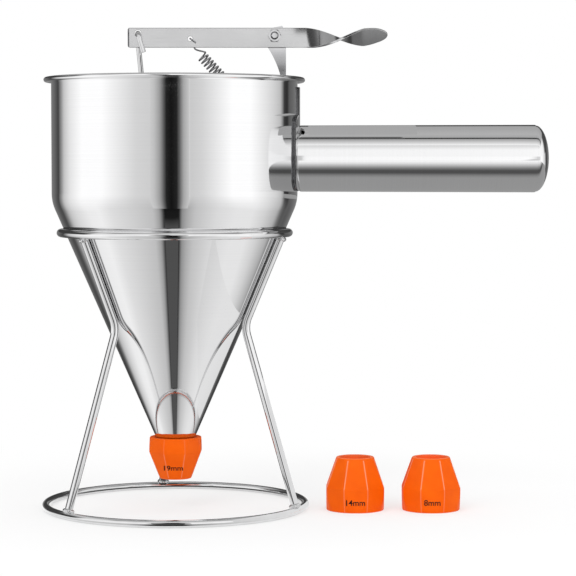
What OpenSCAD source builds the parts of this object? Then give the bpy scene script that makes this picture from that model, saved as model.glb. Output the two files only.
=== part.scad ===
// Batter dispenser: a steel hopper with a lever-worked stopper, its wire stand and three nozzles.
// The origin is on the floor at the stand's axis, +X runs along the handle and +Z is up. Millimetres.

/* [Hopper] */
// Outer radius of the straight wall
hopper_r = 73.5; // [68:0.5:80]
// Thickness of the hopper's sheet
sheet_t = 0.8; // [0.5:0.1:1.2]
// Height from the corner between cone and wall up to the middle of the rim
wall_h = 72.65; // [68:0.05:85]
// Angle between the side of the cone and its axis
cone_angle = 23.55; // [22:0.05:26]
// Radius of the bend between the wall and the cone
shoulder_r = 25.5; // [10:0.5:45]
// Thickness of the rolled rim
rim_d = 2.9; // [2.4:0.1:4]
// Distance from the wall's outer face out to the middle of the rim
rim_out = 3.05; // [2.6:0.05:3.6]
// Outer radius of the outlet neck
neck_r = 11; // [10:0.1:12]
// Length of the outlet neck
neck_h = 9.2; // [8:0.1:10]

/* [Stand] */
// Diameter of the stand's wire
wire_d = 4.8; // [4:0.1:6]
// Radius of the base ring, to the middle of its wire
base_ring_r = 78; // [70:0.5:95]
// Radius of the support ring, to the middle of its wire
support_ring_r = 68.3; // [66:0.1:70]
// Height of the support ring's middle above the floor
support_ring_z = 166; // [155:0.1:200]
// Height of the bend in each leg
leg_bend_z = 110.8; // [100:0.1:120]
// Radius of that bend, to the middle of the wire
leg_bend_r = 16; // [10:1:30]
// Direction of the rear leg's foot, in degrees from the handle
rear_leg_angle = 98.8; // [90:0.1:110]
// Angle that the top of each leg is turned past its foot
leg_twist = 2.4; // [0:0.1:4]
// Depth of the flat ground under the base ring
foot_flat = 0.2; // [0.1:0.05:0.6]
// Extra radius of the weld beads at the feet
weld_extra = 0.9; // [0.3:0.1:1.5]

/* [Handle] */
// Radius of the handle where it leaves the hopper
grip_root_r = 19.8; // [16:0.1:21]
// Radius of the handle at its far end
grip_end_r = 20.2; // [16:0.1:22]
// Thickness of the handle's tube
grip_t = 1; // [0.8:0.1:1.5]
// Length of the handle's tube, from the hopper's wall to the cap
grip_len = 142.2; // [110:0.1:160]
// Distance from the rim's middle down to the handle's axis
grip_drop = 46.8; // [42:0.1:50]
// Depth of the cap's domed end
cap_h = 8; // [5:0.1:12]
// Step from the tube's outside in to the cap
cap_step = 0.4; // [0.2:0.1:1]
// Thickness of the plate that carries the handle
plate_t = 1.5; // [1:0.1:2.5]
// Width of the plate's strap under the rim
strap_w = 18; // [12:1:26]
// Diameter of the vent hole at the handle's root
vent_d = 2.4; // [1.5:0.1:3]

/* [Lever] */
// Width of the lever's strip
lever_w = 11.7; // [10.5:0.1:14]
// Thickness of the lever's strip
lever_t = 1.5; // [1:0.1:2]
// Height of the strip's middle above the rim's middle
lever_rise = 25.1; // [23:0.1:32]
// Distance of the pivot inside the hopper's outer wall
pivot_in = 13.7; // [13:0.1:16]
// Height of the pivot above the strip's middle
pivot_up = 1.1; // [0:0.1:1.5]
// Distance from the pivot to the rod's hole
rod_arm = 81.4; // [78:0.1:86]
// Height of the rod's hole above the strip's middle
rod_hole_up = 2.6; // [1:0.1:2.8]
// Distance from the pivot to the spring's hole
spring_arm = 50.3; // [46:0.1:54]
// Distance of the spring's hole below the strip's middle
spring_hole_down = 0.55; // [0:0.05:1.5]
// Length of strip beyond the rod's hole
lever_tail = 6.1; // [4:0.1:9]
// Distance from the pivot to the start of the twist
twist_start = 18.8; // [12:0.1:24]
// Length of the twisted end with its thumb tab
tab_len = 48.5; // [40:0.1:60]
// Angle that the strip is twisted through
tab_twist = 145; // [120:1:180]
// Length over which the strip twists
twist_len = 34.2; // [30:0.1:48]
// Length of the rounded tip of the thumb tab
tab_tip = 15.3; // [8:0.1:20]
// Depth of the thumb tab's dip below the strip's middle
tab_dip = 1.1; // [0:0.1:3]
// Rise of the thumb tab's tip above the strip's middle
tab_rise = 1.8; // [0:0.1:4]

/* [Pivot] */
// Diameter of the pivot bolt
bolt_d = 4; // [3:0.1:4.4]
// Width across the flats of the nut
nut_af = 7; // [6.5:0.1:8]
// Height of the nut
nut_h = 3.2; // [2.4:0.1:4]
// Thickness of the washer between lever and bracket
washer_t = 0.8; // [0.5:0.1:1.2]
// Thickness of the bracket's sheet
bracket_t = 1.5; // [1:0.1:2]
// Width of the bracket's strip
bracket_w = 12; // [9:0.5:15]
// Width of the bracket's ear
ear_w = 10.7; // [9:0.1:12]
// Radius of the hollow in the ear's edge
ear_hollow_r = 60; // [40:1:90]
// Width of the ear's narrow foot
ear_foot_w = 3.4; // [2.5:0.1:6]

/* [Stopper] */
// Diameter of the plunger rod
rod_d = 3; // [2.4:0.1:3.4]
// Radius of the rod's hook, to the middle of its wire
hook_r = 3; // [2.9:0.1:3.6]
// Lean of the hook's loop from the vertical, in degrees
hook_lean = 6; // [0:1:14]
// Lean of the hook's front leg from the vertical, in degrees
hook_leg_lean = 17; // [8:1:24]
// Angle that the hook is turned about the vertical
hook_turn = 14; // [0:1:20]
// Length of the hook's front leg below its bend
hook_leg = 7.7; // [5:0.1:12]
// Height of the stopper
stopper_h = 10; // [8:0.5:14]
// Width across the flats of the nut under the stopper
stopper_nut_af = 5.5; // [5:0.1:7]

/* [Spring] */
// Diameter of the spring's wire
spring_wire = 1; // [0.8:0.05:1.1]
// Radius of the coil, to the middle of its wire
coil_r = 3; // [2.5:0.1:3.4]
// Number of curls
curls = 26; // [18:1:27]
// Distance from curl to curl
curl_pitch = 2.27; // [2:0.01:2.4]

/* [Nozzles] */
// Radius of the fitted nozzle's collar
fitted_r = 15.55; // [14.5:0.05:17]
// Radius of the fitted nozzle's tip
fitted_tip_r = 9.4; // [9:0.1:11]
// Height of the fitted nozzle
fitted_h = 25; // [22:0.1:30]
// Height of the fitted nozzle's collar
fitted_collar_h = 8.5; // [6:0.1:10]
// Diameter of the fitted nozzle's outlet
fitted_bore = 16; // [12:0.1:17]
// Radius of a spare nozzle's collar
spare_r = 17.25; // [15:0.05:19]
// Radius of a spare nozzle's tip
spare_tip_r = 11.2; // [10.5:0.1:13]
// Height of a spare nozzle
spare_h = 31.7; // [28:0.1:36]
// Height of a spare nozzle's collar
spare_collar_h = 13.6; // [10:0.1:16]
// Diameter of the middle spare's outlet
medium_bore = 14; // [11:0.1:16]
// Diameter of the small spare's outlet
small_bore = 8; // [6:0.1:10]
// Radius of the recess in a spare nozzle's mouth
mouth_r = 9.3; // [8.5:0.1:9.8]
// Distance from the stand's axis to the middle spare
medium_x = 108.1; // [100:0.1:120]
// Distance between the two spares
spare_step = 45.5; // [40:0.1:60]
// Distance of the spares in front of the axis
spare_front = 7.1; // [0:0.1:30]

/* [Clearances] */
// Gap between pieces that are welded or seated on each other
seat_gap = 0.05; // [0.03:0.01:0.1]
// Gap between pieces that rest on each other but come apart
rest_gap = 0.2; // [0.1:0.05:0.3]
// Running clearance of the pivot, on the radius
pivot_gap = 0.06; // [0.03:0.01:0.1]
// Clearance of a nozzle on the neck, on the radius
socket_gap = 0.08; // [0.03:0.01:0.1]
// Clearance of a hook in its hole, on the radius
hook_gap = 0.4; // [0.3:0.05:0.6]

/* [Hidden] */
$fn = 96;

steel = [0.78, 0.78, 0.79];
bright_steel = [0.86, 0.86, 0.87];
orange = [0.98, 0.41, 0.06];
rubber = [0.9, 0.9, 0.88];
far = 400;

// Where the support ring touches the cone, and the heights that follow from it
wire_r = wire_d / 2;
ring_offset = wire_r + rest_gap;
touch_r = support_ring_r - ring_offset * cos(cone_angle);
touch_z = support_ring_z + ring_offset * sin(cone_angle);
function cone_z(r) = touch_z + (r - touch_r) / tan(cone_angle);
function cone_r(z) = touch_r + (z - touch_z) * tan(cone_angle);
sheet_across = sheet_t / cos(cone_angle);
corner_z = cone_z(hopper_r);
neck_top = cone_z(neck_r);
neck_bottom = neck_top - neck_h;
rim_z = corner_z + wall_h;
rim_r = hopper_r + rim_out;
shoulder_z = corner_z + shoulder_r * tan(cone_angle / 2);
flare_z = rim_z + rim_d / 2 - rim_out - sheet_t;

// The stand
base_z = wire_r - foot_flat;
leg_bend_x = support_ring_r - (support_ring_z - leg_bend_z) * tan(cone_angle);
leg_splay = atan((base_ring_r - leg_bend_x) / (leg_bend_z - base_z));
leg_tangent = leg_bend_r * tan((cone_angle + leg_splay) / 2);

// The handle
grip_z = rim_z - grip_drop;
saddle_r = hopper_r + seat_gap + plate_t;
grip_end_x = hopper_r + grip_len;
flange_w = 2 * grip_root_r;
flange_low = grip_z - grip_root_r + 0.5;
flange_high = grip_z + grip_root_r + 6;
flange_corner = 8;

// The lever, its pivot and the bracket, from front to back
lever_z = rim_z + lever_rise;
pivot_x = hopper_r - pivot_in;
pivot_z = lever_z + pivot_up;
rod_side = rod_d / 2 + 0.5;
lever_back = -rod_side;
lever_front = lever_back - lever_t;
lever_mid = (lever_back + lever_front) / 2;
ear_front = lever_back + washer_t + 2 * seat_gap;
ear_back = ear_front + bracket_t;
rod_hole = [pivot_x - rod_arm, lever_mid, lever_z + rod_hole_up];
spring_hole = [pivot_x - spring_arm, lever_mid, lever_z - spring_hole_down];
rod_hole_r = rod_d / 2 + hook_gap + lever_t / 2 * tan(hook_turn);
twist_x = pivot_x + twist_start;
spring_hole_r = spring_wire / 2 + 2 * hook_gap + 0.2;
bolt_r = bolt_d / 2;
head_r = bolt_d * 0.95;
head_h = bolt_d * 0.62;
bolt_end = 0.9;
nut_back = lever_front - 2 * seat_gap;

// The bracket's ear reaches left of the pivot, its web stands on the right and its pad lies on the wall
web_x = pivot_x + 6.8;
ear_left = web_x - ear_w;
ear_top = lever_z + lever_w / 2 + 1.4;
web_low = rim_z - 5;
web_h = 24;
pad_high = web_low - 9;
pad_low = grip_z - 7;
pad_r = hopper_r - sheet_t - seat_gap;
lug_hole = [pad_r - 7, 0, grip_z + 7.5];
lug_reach = 3.6;
lug_hole_r = spring_wire / 2 + 2 * hook_gap;

// The plunger
hook_dir = [sin(hook_lean), 0, -cos(hook_lean)];
hook_side = [-sin(hook_turn), cos(hook_turn), 0];
hook_leg_dir = [sin(hook_leg_lean), 0, -cos(hook_leg_lean)];
hook_middle = rod_hole + hook_r * hook_dir;
hook_loop = [for (a = [90:-15:-90]) hook_middle + hook_r * (sin(a) * hook_side - cos(a) * hook_dir)];
rod_plane = hook_loop[0].y;
stopper_gap = 0.3;
stopper_low = neck_top + 0.5;
stopper_high = stopper_low + stopper_h;
function stopper_r(z) = cone_r(z) - sheet_across - stopper_gap / cos(cone_angle);
rod_bore_r = rod_d / 2 + seat_gap;
stopper_washer_t = 1;
stopper_nut_h = 2.6;
hook_end = hook_loop[12];
rod_foot = stopper_low - stopper_nut_h - 2;
rod_knee = [0, rod_plane, stopper_high + 10];
rod_top = hook_loop[0] + 3 * hook_dir;

// The nozzles
socket_r = neck_r + socket_gap;
collar_over = 1.9;
socket_depth = collar_over + neck_h + 0.3;
lead_in_r = cone_r(neck_top + collar_over) + 0.9;
socket_step = 1.5;

function arc(cx, cy, r, from, to, steps) =
    [for (i = [0:steps]) let (a = from + (to - from) * i / steps) [cx + r * cos(a), cy + r * sin(a)]];

function unit(v) = v / norm(v);
function bend(a, b, c, d, n) = [for (i = [1:n]) let (t = i / n, s = 1 - t)
    s * s * s * a + 3 * s * s * t * b + 3 * s * t * t * c + t * t * t * d];

// A skin over rings of points, each ring of the same even count, closed at both ends
module skin(rings) {
    n = len(rings[0]);
    last = (len(rings) - 1) * n;
    sides = [for (i = [0:len(rings) - 2], k = [0:n - 1]) [i * n + k, i * n + (k + 1) % n]];
    polyhedron(
        points = [for (r = rings, p = r) p],
        faces = concat(
            [for (e = sides) [e[0], e[1], e[1] + n]],
            [for (e = sides) [e[0], e[1] + n, e[0] + n]],
            [for (k = [0:n / 2 - 2]) [k + 1, k, n - k - 1]],
            [for (k = [1:n / 2 - 1]) [n - k - 1, k, n - k]],
            [for (k = [0:n / 2 - 2]) [last + k, last + k + 1, last + n - k - 1]],
            [for (k = [1:n / 2 - 1]) [last + k, last + n - k - 1, last + n - k]]));
}
function tangent(p, i) = unit(p[min(i + 1, len(p) - 1)] - p[max(i - 1, 0)]);
function level(v, t) = unit(v - (v * t) * t);

// A round wire along a path
module tube(path, r, sides) {
    normals = [for (i = 0, n = level([0.1, 1, 0.2], tangent(path, 0)); i < len(path);
        i = i + 1, n = level(n, tangent(path, min(i, len(path) - 1)))) n];
    skin([for (i = [0:len(path) - 1]) let (t = tangent(path, i), n = normals[i], b = cross(t, n))
        [for (k = [0:sides - 1]) path[i] + r * (cos(360 * k / sides) * n + sin(360 * k / sides) * b)]]);
}

// A cylinder along Y, from one depth back to another
module along_y(x, z, front, back, r) {
    translate([x, back, z]) rotate([90, 0, 0]) cylinder(r = r, h = back - front);
}

module ring_wire(r, z, wire) {
    translate([0, 0, z]) rotate_extrude() translate([r, 0]) circle(wire);
}

// An upright rectangle with round corners, standing on the x axis
module round_plate(w, h, r) {
    translate([-w / 2 + r, 0]) square([w - 2 * r, h]);
    translate([-w / 2, r]) square([w, h - 2 * r]);
    for (x = [-w / 2 + r, w / 2 - r], y = [r, h - r]) translate([x, y]) circle(r);
}

module base_ring() {
    color(bright_steel) difference() {
        ring_wire(base_ring_r, base_z, wire_r);
        translate([-far / 2, -far / 2, -2 * wire_d]) cube([far, far, 2 * wire_d]);
    }
}

module support_ring() {
    color(bright_steel) ring_wire(support_ring_r, support_ring_z, wire_r);
}

// A round section of a leg, and one that is coped to the ring it is welded to
leg_sides = 24;
function hoop(c, n, r) = [for (k = [0:leg_sides - 1]) let (a = 360 * k / leg_sides)
    c + r * (cos(a) * n + [0, sin(a), 0])];
function coped(c, n, along) = [for (k = [0:leg_sides - 1]) let (a = 360 * k / leg_sides)
    c + wire_r * (cos(a) * n + [0, sin(a), 0])
    + sqrt(pow(wire_r + seat_gap, 2) - pow(wire_r * cos(a), 2)) * along];
// The weld bead swells outwards near each end of a leg
function bead(c, n, along, lean) = [for (i = [0:5]) let (swell = weld_extra * sin(36 * i))
    hoop(c + (wire_r + 0.8 + 0.8 * i) * along + lean * swell * n, n, wire_r + swell)];

// A ring of points turned about the axis of the stand
function spun(ring, a) =
    [for (p = ring) [p.x * cos(a) - p.y * sin(a), p.x * sin(a) + p.y * cos(a), p.z]];

// One leg: up from the base ring, round the bend and along the cone to the support ring. Its foot is
// turned back by leg_twist, so that it leans a little round the axis.
module leg(turn) {
    steps = 8;
    high = [sin(cone_angle), 0, cos(cone_angle)];
    high_side = [cos(cone_angle), 0, -sin(cone_angle)];
    low = [-sin(leg_splay), 0, cos(leg_splay)];
    low_side = [cos(leg_splay), 0, sin(leg_splay)];
    top = [support_ring_r, 0, support_ring_z];
    foot = [base_ring_r, 0, base_z];
    centre = [leg_bend_x, 0, leg_bend_z] + leg_tangent * high + leg_bend_r * high_side;
    top_bead = bead(top, high_side, -high, 1);
    color(bright_steel) rotate([0, 0, turn]) skin(concat(
        [spun(coped(foot, low_side, low), -leg_twist)],
        [for (r = bead(foot, low_side, low, 0)) spun(r, -leg_twist)],
        [for (i = [0:steps]) let (
            a = leg_splay - (cone_angle + leg_splay) * i / steps,
            n = [cos(a), 0, sin(a)])
            hoop(centre - leg_bend_r * n, n, wire_r)],
        [for (i = [5:-1:0]) top_bead[i]],
        [coped(top, high_side, -high)]));
}

// Half of the hopper's section: out along the cone, up the wall, over the rim and back inside
module hopper_section() {
    shoulder_x = hopper_r - shoulder_r;
    polygon(concat(
        [[neck_r, neck_top]],
        arc(shoulder_x, shoulder_z, shoulder_r, -cone_angle, 0, 8),
        arc(rim_r, flare_z, rim_out, 180, 90, 6),
        arc(rim_r, flare_z, rim_out + sheet_t, 90, 180, 6),
        arc(shoulder_x, shoulder_z, shoulder_r - sheet_t, 0, -cone_angle, 8),
        [[neck_r - sheet_across, neck_top]]));
}

module hopper() {
    color(steel) {
        rotate_extrude() hopper_section();
        ring_wire(rim_r, rim_z, rim_d / 2);
    }
}

module outlet_neck() {
    color(steel) translate([0, 0, neck_bottom]) difference() {
        cylinder(r = neck_r, h = neck_h);
        translate([0, 0, -1]) cylinder(r = neck_r - sheet_t, h = neck_h + 2);
    }
}

// The plate is bent to the wall: a wide flange behind the handle and a strap up to the rim
module handle_plate() {
    strap_top = flare_z - 2;
    color(bright_steel) intersection() {
        difference() {
            translate([0, 0, flange_low]) cylinder(r = saddle_r, h = strap_top - flange_low);
            translate([0, 0, flange_low - 1]) cylinder(r = saddle_r - plate_t, h = far);
        }
        rotate([90, 0, 90]) linear_extrude(hopper_r + 10) {
            translate([0, flange_low]) round_plate(flange_w, flange_high - flange_low, flange_corner);
            translate([-strap_w / 2, grip_z]) square([strap_w, strap_top - grip_z]);
        }
    }
}

module handle_tube() {
    root_x = hopper_r - 8;
    grow = (grip_end_r - grip_root_r) * 8 / grip_len;
    vent_z = grip_z + grip_root_r * 0.78;
    color(bright_steel) difference() {
        translate([root_x, 0, grip_z]) rotate([0, 90, 0])
            cylinder(r1 = grip_root_r - grow, r2 = grip_end_r, h = grip_end_x - root_x);
        translate([root_x - 1, 0, grip_z]) rotate([0, 90, 0])
            cylinder(r1 = grip_root_r - grow - grip_t, r2 = grip_end_r - grip_t, h = grip_end_x - root_x + 2);
        cylinder(r = saddle_r + seat_gap, h = far);
        translate([saddle_r + vent_d * 0.65, 0, vent_z]) rotate([90, 0, 0]) cylinder(r = vent_d / 2, h = far);
    }
}

// The cap is half an ellipse, hollow like the tube
function half_dome(r, h, steps) = [for (i = [0:steps]) [r * cos(90 * i / steps), h * sin(90 * i / steps)]];
module handle_cap() {
    cap_r = grip_end_r - cap_step;
    inner = half_dome(cap_r - grip_t, cap_h - grip_t, 12);
    color(bright_steel) translate([grip_end_x + seat_gap, 0, grip_z]) rotate([0, 90, 0]) rotate_extrude()
        polygon(concat(half_dome(cap_r, cap_h, 12), [for (i = [12:-1:0]) inner[i]]));
}

// Middle of the circle through two points, on the left of the way from the upper one to the lower
function hub(a, b, r) = let (d = b - a) (a + b) / 2 + sqrt(r * r - d * d / 4) * unit([d.y, -d.x]);

// The bracket: an ear that carries the pivot, a web, a pad on the wall and a lug for the spring
module lever_bracket() {
    hollow = hub([ear_left, lever_z - lever_w / 2], [web_x - ear_foot_w, rim_z + 3], ear_hollow_r);
    outer = bracket_t + 1;
    color(bright_steel) difference() {
        union() {
            difference() {
                translate([0, ear_back, 0]) rotate([90, 0, 0]) linear_extrude(bracket_t) polygon([
                    [web_x, web_low - 4], [web_x, ear_top - 5], [web_x - 2.2, ear_top],
                    [ear_left + 0.8, ear_top - 1.6], [ear_left, ear_top - 4], [ear_left, web_low - 4]]);
                along_y(hollow.x, hollow.y, ear_front - 1, ear_back + 1, ear_hollow_r);
            }
            translate([web_x - bracket_t, ear_front, web_low - 4]) cube([bracket_t, bracket_w, web_h]);
            intersection() {
                translate([0, ear_front + bracket_w, 0]) rotate([90, 0, 0])
                    linear_extrude(bracket_w) polygon([
                    [web_x, web_low], [web_x - bracket_t, web_low], [web_x - bracket_t, web_low - 4],
                    [pad_r - outer, pad_high - 3], [pad_r - outer, pad_low], [hopper_r, pad_low],
                    [hopper_r, pad_high + 1], [web_x, web_low - 3]]);
                cylinder(r = pad_r, h = far);
            }
            translate([0, bracket_t / 2, 0]) rotate([90, 0, 0]) linear_extrude(bracket_t) union() {
                translate([lug_hole.x, lug_hole.z]) circle(lug_reach);
                translate([lug_hole.x, lug_hole.z - lug_reach])
                    square([pad_r - lug_hole.x - bracket_t, 2 * lug_reach]);
            }
        }
        along_y(pivot_x, pivot_z, ear_front - 1, ear_back + 1, bolt_r + seat_gap);
        along_y(lug_hole.x, lug_hole.z, -bracket_t, bracket_t, lug_hole_r);
    }
}

// A pan head behind the ear, a plain shank and a chamfered end in front of the nut
module pivot_bolt() {
    head_front = ear_back + seat_gap;
    tip = nut_back - nut_h - bolt_end;
    chamfer = 0.4;
    color(steel) {
        along_y(pivot_x, pivot_z, tip + chamfer, head_front, bolt_r);
        translate([pivot_x, tip + chamfer, pivot_z]) rotate([90, 0, 0])
            cylinder(r1 = bolt_r, r2 = bolt_r - chamfer, h = chamfer);
        difference() {
            intersection() {
                along_y(pivot_x, pivot_z, head_front, head_front + head_h, head_r);
                translate([pivot_x, head_front - head_r, pivot_z]) sphere(head_r + head_h);
            }
            translate([pivot_x - far / 2, head_front + head_h * 0.55, pivot_z - 0.5]) cube([far, head_h, 1]);
        }
    }
}

// A hexagon with both faces chamfered, corners up and down
module hex_nut(af, h, hole_r) {
    corner_r = af / 2 / cos(30);
    difference() {
        intersection() {
            rotate([0, 0, 90]) cylinder(r = corner_r, h = h, $fn = 6);
            translate([0, 0, -h]) cylinder(r1 = af / 2 + h * 3.2, r2 = af / 2, h = 2 * h);
            cylinder(r1 = af / 2, r2 = af / 2 + h * 3.2, h = 2 * h);
        }
        translate([0, 0, -1]) cylinder(r = hole_r, h = h + 2);
    }
}

module pivot_nut() {
    color(steel) translate([pivot_x, nut_back, pivot_z]) rotate([90, 0, 0])
        hex_nut(nut_af, nut_h, bolt_r + seat_gap);
}

module pivot_washer() {
    color(steel) difference() {
        along_y(pivot_x, pivot_z, lever_back + seat_gap, lever_back + seat_gap + washer_t, bolt_d * 1.1);
        along_y(pivot_x, pivot_z, lever_back - 1, ear_front + 1, bolt_r + seat_gap);
    }
}

dip_len = tab_len * 0.87;
// Corners of the strip's section in the twisted end, at a distance from the start of the twist
function strip_half(s) =
    let (t = max(0, s - (tab_len - tab_tip)) / tab_tip) lever_w / 2 * max(0.1, sqrt(max(0, 1 - t * t)));
function strip_section(s) =
    let (
        turn = tab_twist * min(1, s / twist_len),
        lift = -tab_dip * sin(180 * min(1, s / dip_len)) + tab_rise * pow(s / tab_len, 2),
        w = strip_half(s) * [0, sin(turn), cos(turn)],
        t = lever_t / 2 * [0, -cos(turn), sin(turn)],
        c = [twist_x + s, lever_mid, lever_z + lift])
    [c - w + t, c + w + t, c + w - t, c - w - t];

module lever() {
    corner = 1.2;
    flat_len = twist_x - rod_hole.x + lever_tail;
    steps = 18;
    tip_steps = 8;
    tip_start = tab_len - tab_tip;
    stations = concat(
        [for (i = [0:steps]) tip_start * i / steps],
        [for (i = [1:tip_steps]) tip_start + tab_tip * sin(90 * i / tip_steps)]);
    color(bright_steel) difference() {
        union() {
            translate([twist_x, lever_back, lever_z - lever_w / 2]) rotate([90, 0, 0])
                linear_extrude(lever_t) {
                    translate([corner - flat_len, 0]) square([flat_len - corner, lever_w]);
                    translate([-flat_len, corner]) square([corner * 2, lever_w - 2 * corner]);
                    for (y = [corner, lever_w - corner]) translate([corner - flat_len, y]) circle(corner);
                }
            skin([for (s = stations) strip_section(s)]);
        }
        along_y(pivot_x, pivot_z, lever_front - 1, lever_back + 1, bolt_r + pivot_gap);
        along_y(rod_hole.x, rod_hole.z, lever_front - 1, lever_back + 1, rod_hole_r);
        along_y(spring_hole.x, spring_hole.z, lever_front - 1, lever_back + 1, spring_hole_r);
    }
}

// The rod: a plumb foot on the axis, a straight leaning length and a hook through the lever
rod_path = concat(
    [[0, rod_plane, rod_foot], rod_knee - [0, 0, 3]],
    bend(rod_knee - [0, 0, 3], rod_knee, rod_knee, rod_knee + 3 * unit(rod_top - rod_knee), 3),
    bend(rod_top - 2 * unit(rod_top - rod_knee), rod_top, rod_top, rod_top - 2 * hook_dir, 4),
    hook_loop,
    bend(hook_end, hook_end + hook_dir, hook_end + hook_dir, hook_end + hook_dir + hook_leg_dir, 3),
    [hook_end + hook_dir + hook_leg * hook_leg_dir]);

module plunger_rod() {
    color(bright_steel) tube(rod_path, rod_d / 2, 16);
}

module stopper() {
    color(rubber) difference() {
        translate([0, rod_plane, 0]) rotate_extrude() polygon([
            [rod_bore_r, stopper_low], [stopper_r(stopper_low) - 1, stopper_low],
            [stopper_r(stopper_low + 1), stopper_low + 1], [stopper_r(stopper_high - 2), stopper_high - 2],
            [stopper_r(stopper_high) - 2, stopper_high], [rod_bore_r, stopper_high]]);
    }
}

module stopper_washer() {
    color(steel) translate([0, rod_plane, stopper_high + seat_gap]) difference() {
        cylinder(r = rod_d * 1.7, h = stopper_washer_t);
        translate([0, 0, -1]) cylinder(r = rod_bore_r, h = stopper_washer_t + 2);
    }
}

module stopper_nut() {
    color(steel) translate([0, rod_plane, stopper_low - seat_gap - stopper_nut_h])
        hex_nut(stopper_nut_af, stopper_nut_h, rod_bore_r);
}

// A nozzle with its wide end down: eight flats, round at the base and at the mouth
module nozzle_form(r, tip_r, h, collar_h) {
    corner = 1 / cos(22.5);
    intersection() {
        rotate([0, 0, 22.5]) union() {
            cylinder(r = r * corner, h = collar_h, $fn = 8);
            translate([0, 0, collar_h])
                cylinder(r1 = r * corner, r2 = tip_r * corner, h = h - collar_h, $fn = 8);
        }
        rotate_extrude() polygon([
            [0, 0], [r + 0.15, 0], [r * corner + 0.1, collar_h * 0.8], [r * corner + 0.1, collar_h],
            [tip_r * corner + 0.25, h - 1.6], [tip_r + 0.1, h], [0, h]]);
    }
}

// The room inside a nozzle: lead-in, socket for the neck, taper and outlet
module nozzle_room(h, bore_r, straight) {
    rotate_extrude() polygon([
        [0, -1], [lead_in_r, -1], [lead_in_r, 0], [socket_r, collar_over], [socket_r, socket_depth],
        [neck_r - socket_step, socket_depth], [bore_r, h - straight], [bore_r, h + 1], [0, h + 1]]);
}

module spare_nozzle(x, bore) {
    color(orange) translate([x, -spare_front, 0]) difference() {
        nozzle_form(spare_r, spare_tip_r, spare_h, spare_collar_h);
        nozzle_room(spare_h, bore / 2, 11);
        translate([0, 0, spare_h - 4]) cylinder(r = mouth_r, h = 5);
    }
}

module nozzle_large() {
    color(orange) translate([0, 0, neck_top + collar_over]) rotate([180, 0, 0]) difference() {
        nozzle_form(fitted_r, fitted_tip_r, fitted_h, fitted_collar_h);
        nozzle_room(fitted_h, fitted_bore / 2, 4);
    }
}

module nozzle_medium() {
    spare_nozzle(medium_x, medium_bore);
}

module nozzle_small() {
    spare_nozzle(medium_x + spare_step, small_bore);
}

// The spring: one wire from the hook in the lever, round all its curls, to the hook in the bracket's lug
coil_start = [spring_hole.x + 6.7, 0, spring_hole.z - 10];
pull = lug_hole - coil_start;
coil_dir = pull / norm(pull);
coil_up = [-coil_dir.z, 0, coil_dir.x];
loop_r = 1.9;
function coil_point(turn) =
    coil_start + curl_pitch * turn * coil_dir
    + coil_r * (cos(360 * turn) * coil_up + [0, sin(360 * turn), 0]);
function half_loop(hole, along, from, to, n) =
    [for (i = [0:n]) let (a = from + (to - from) * i / n)
        hole - loop_r * along + loop_r * (cos(a) * along + [0, sin(a), 0])];
hook_along = [-0.81, 0, 0.58] / norm([0.81, 0, 0.58]);
upper_loop = half_loop(spring_hole, hook_along, -90, 90, 5);
lower_loop = half_loop(lug_hole, coil_dir, 90, -90, 5);
under_lever = [spring_hole.x + 3.4, -0.6, spring_hole.z - 6.4];
coil_in = coil_point(0);
coil_out = coil_point(curls);
coil_flow = [0, 1, 0];
spring_path = concat(
    [upper_loop[0] - 2.4 * hook_along],
    upper_loop,
    bend(upper_loop[5], upper_loop[5] - 1.6 * hook_along, under_lever + [-2, 0, 0.9], under_lever, 4),
    bend(under_lever, under_lever + [2, 0, -0.9], coil_in - 1.8 * coil_flow + 0.4 * coil_up, coil_in, 4),
    [for (i = [1:8 * curls - 1]) coil_point(i / 8)],
    [coil_out],
    bend(coil_out, coil_out + 1.8 * coil_flow, lower_loop[0] - 6 * coil_dir, lower_loop[0], 5),
    [for (i = [1:5]) lower_loop[i]],
    [lower_loop[5] - 2.4 * coil_dir]);

// Least gap between stretches of the spring's wire that aren't next to each other
spring_gap = min([for (i = [0:len(spring_path) - 6], j = [i + 5:len(spring_path) - 1])
    norm(spring_path[i] - spring_path[j])]) - spring_wire;
echo(spring_gap = spring_gap);

module return_spring() {
    color(steel) tube(spring_path, spring_wire / 2, 6);
}

module leg_rear() {
    leg(rear_leg_angle + leg_twist);
}

module leg_left() {
    leg(rear_leg_angle + leg_twist + 120);
}

module leg_right() {
    leg(rear_leg_angle + leg_twist + 240);
}

base_ring();
support_ring();
leg_rear();
leg_left();
leg_right();
hopper();
outlet_neck();
handle_plate();
handle_tube();
handle_cap();
lever_bracket();
pivot_bolt();
pivot_nut();
pivot_washer();
lever();
return_spring();
plunger_rod();
stopper();
stopper_washer();
stopper_nut();
nozzle_large();
nozzle_medium();
nozzle_small();
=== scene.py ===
import math

import bmesh
import bpy
from mathutils import Matrix, Vector, noise


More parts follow.
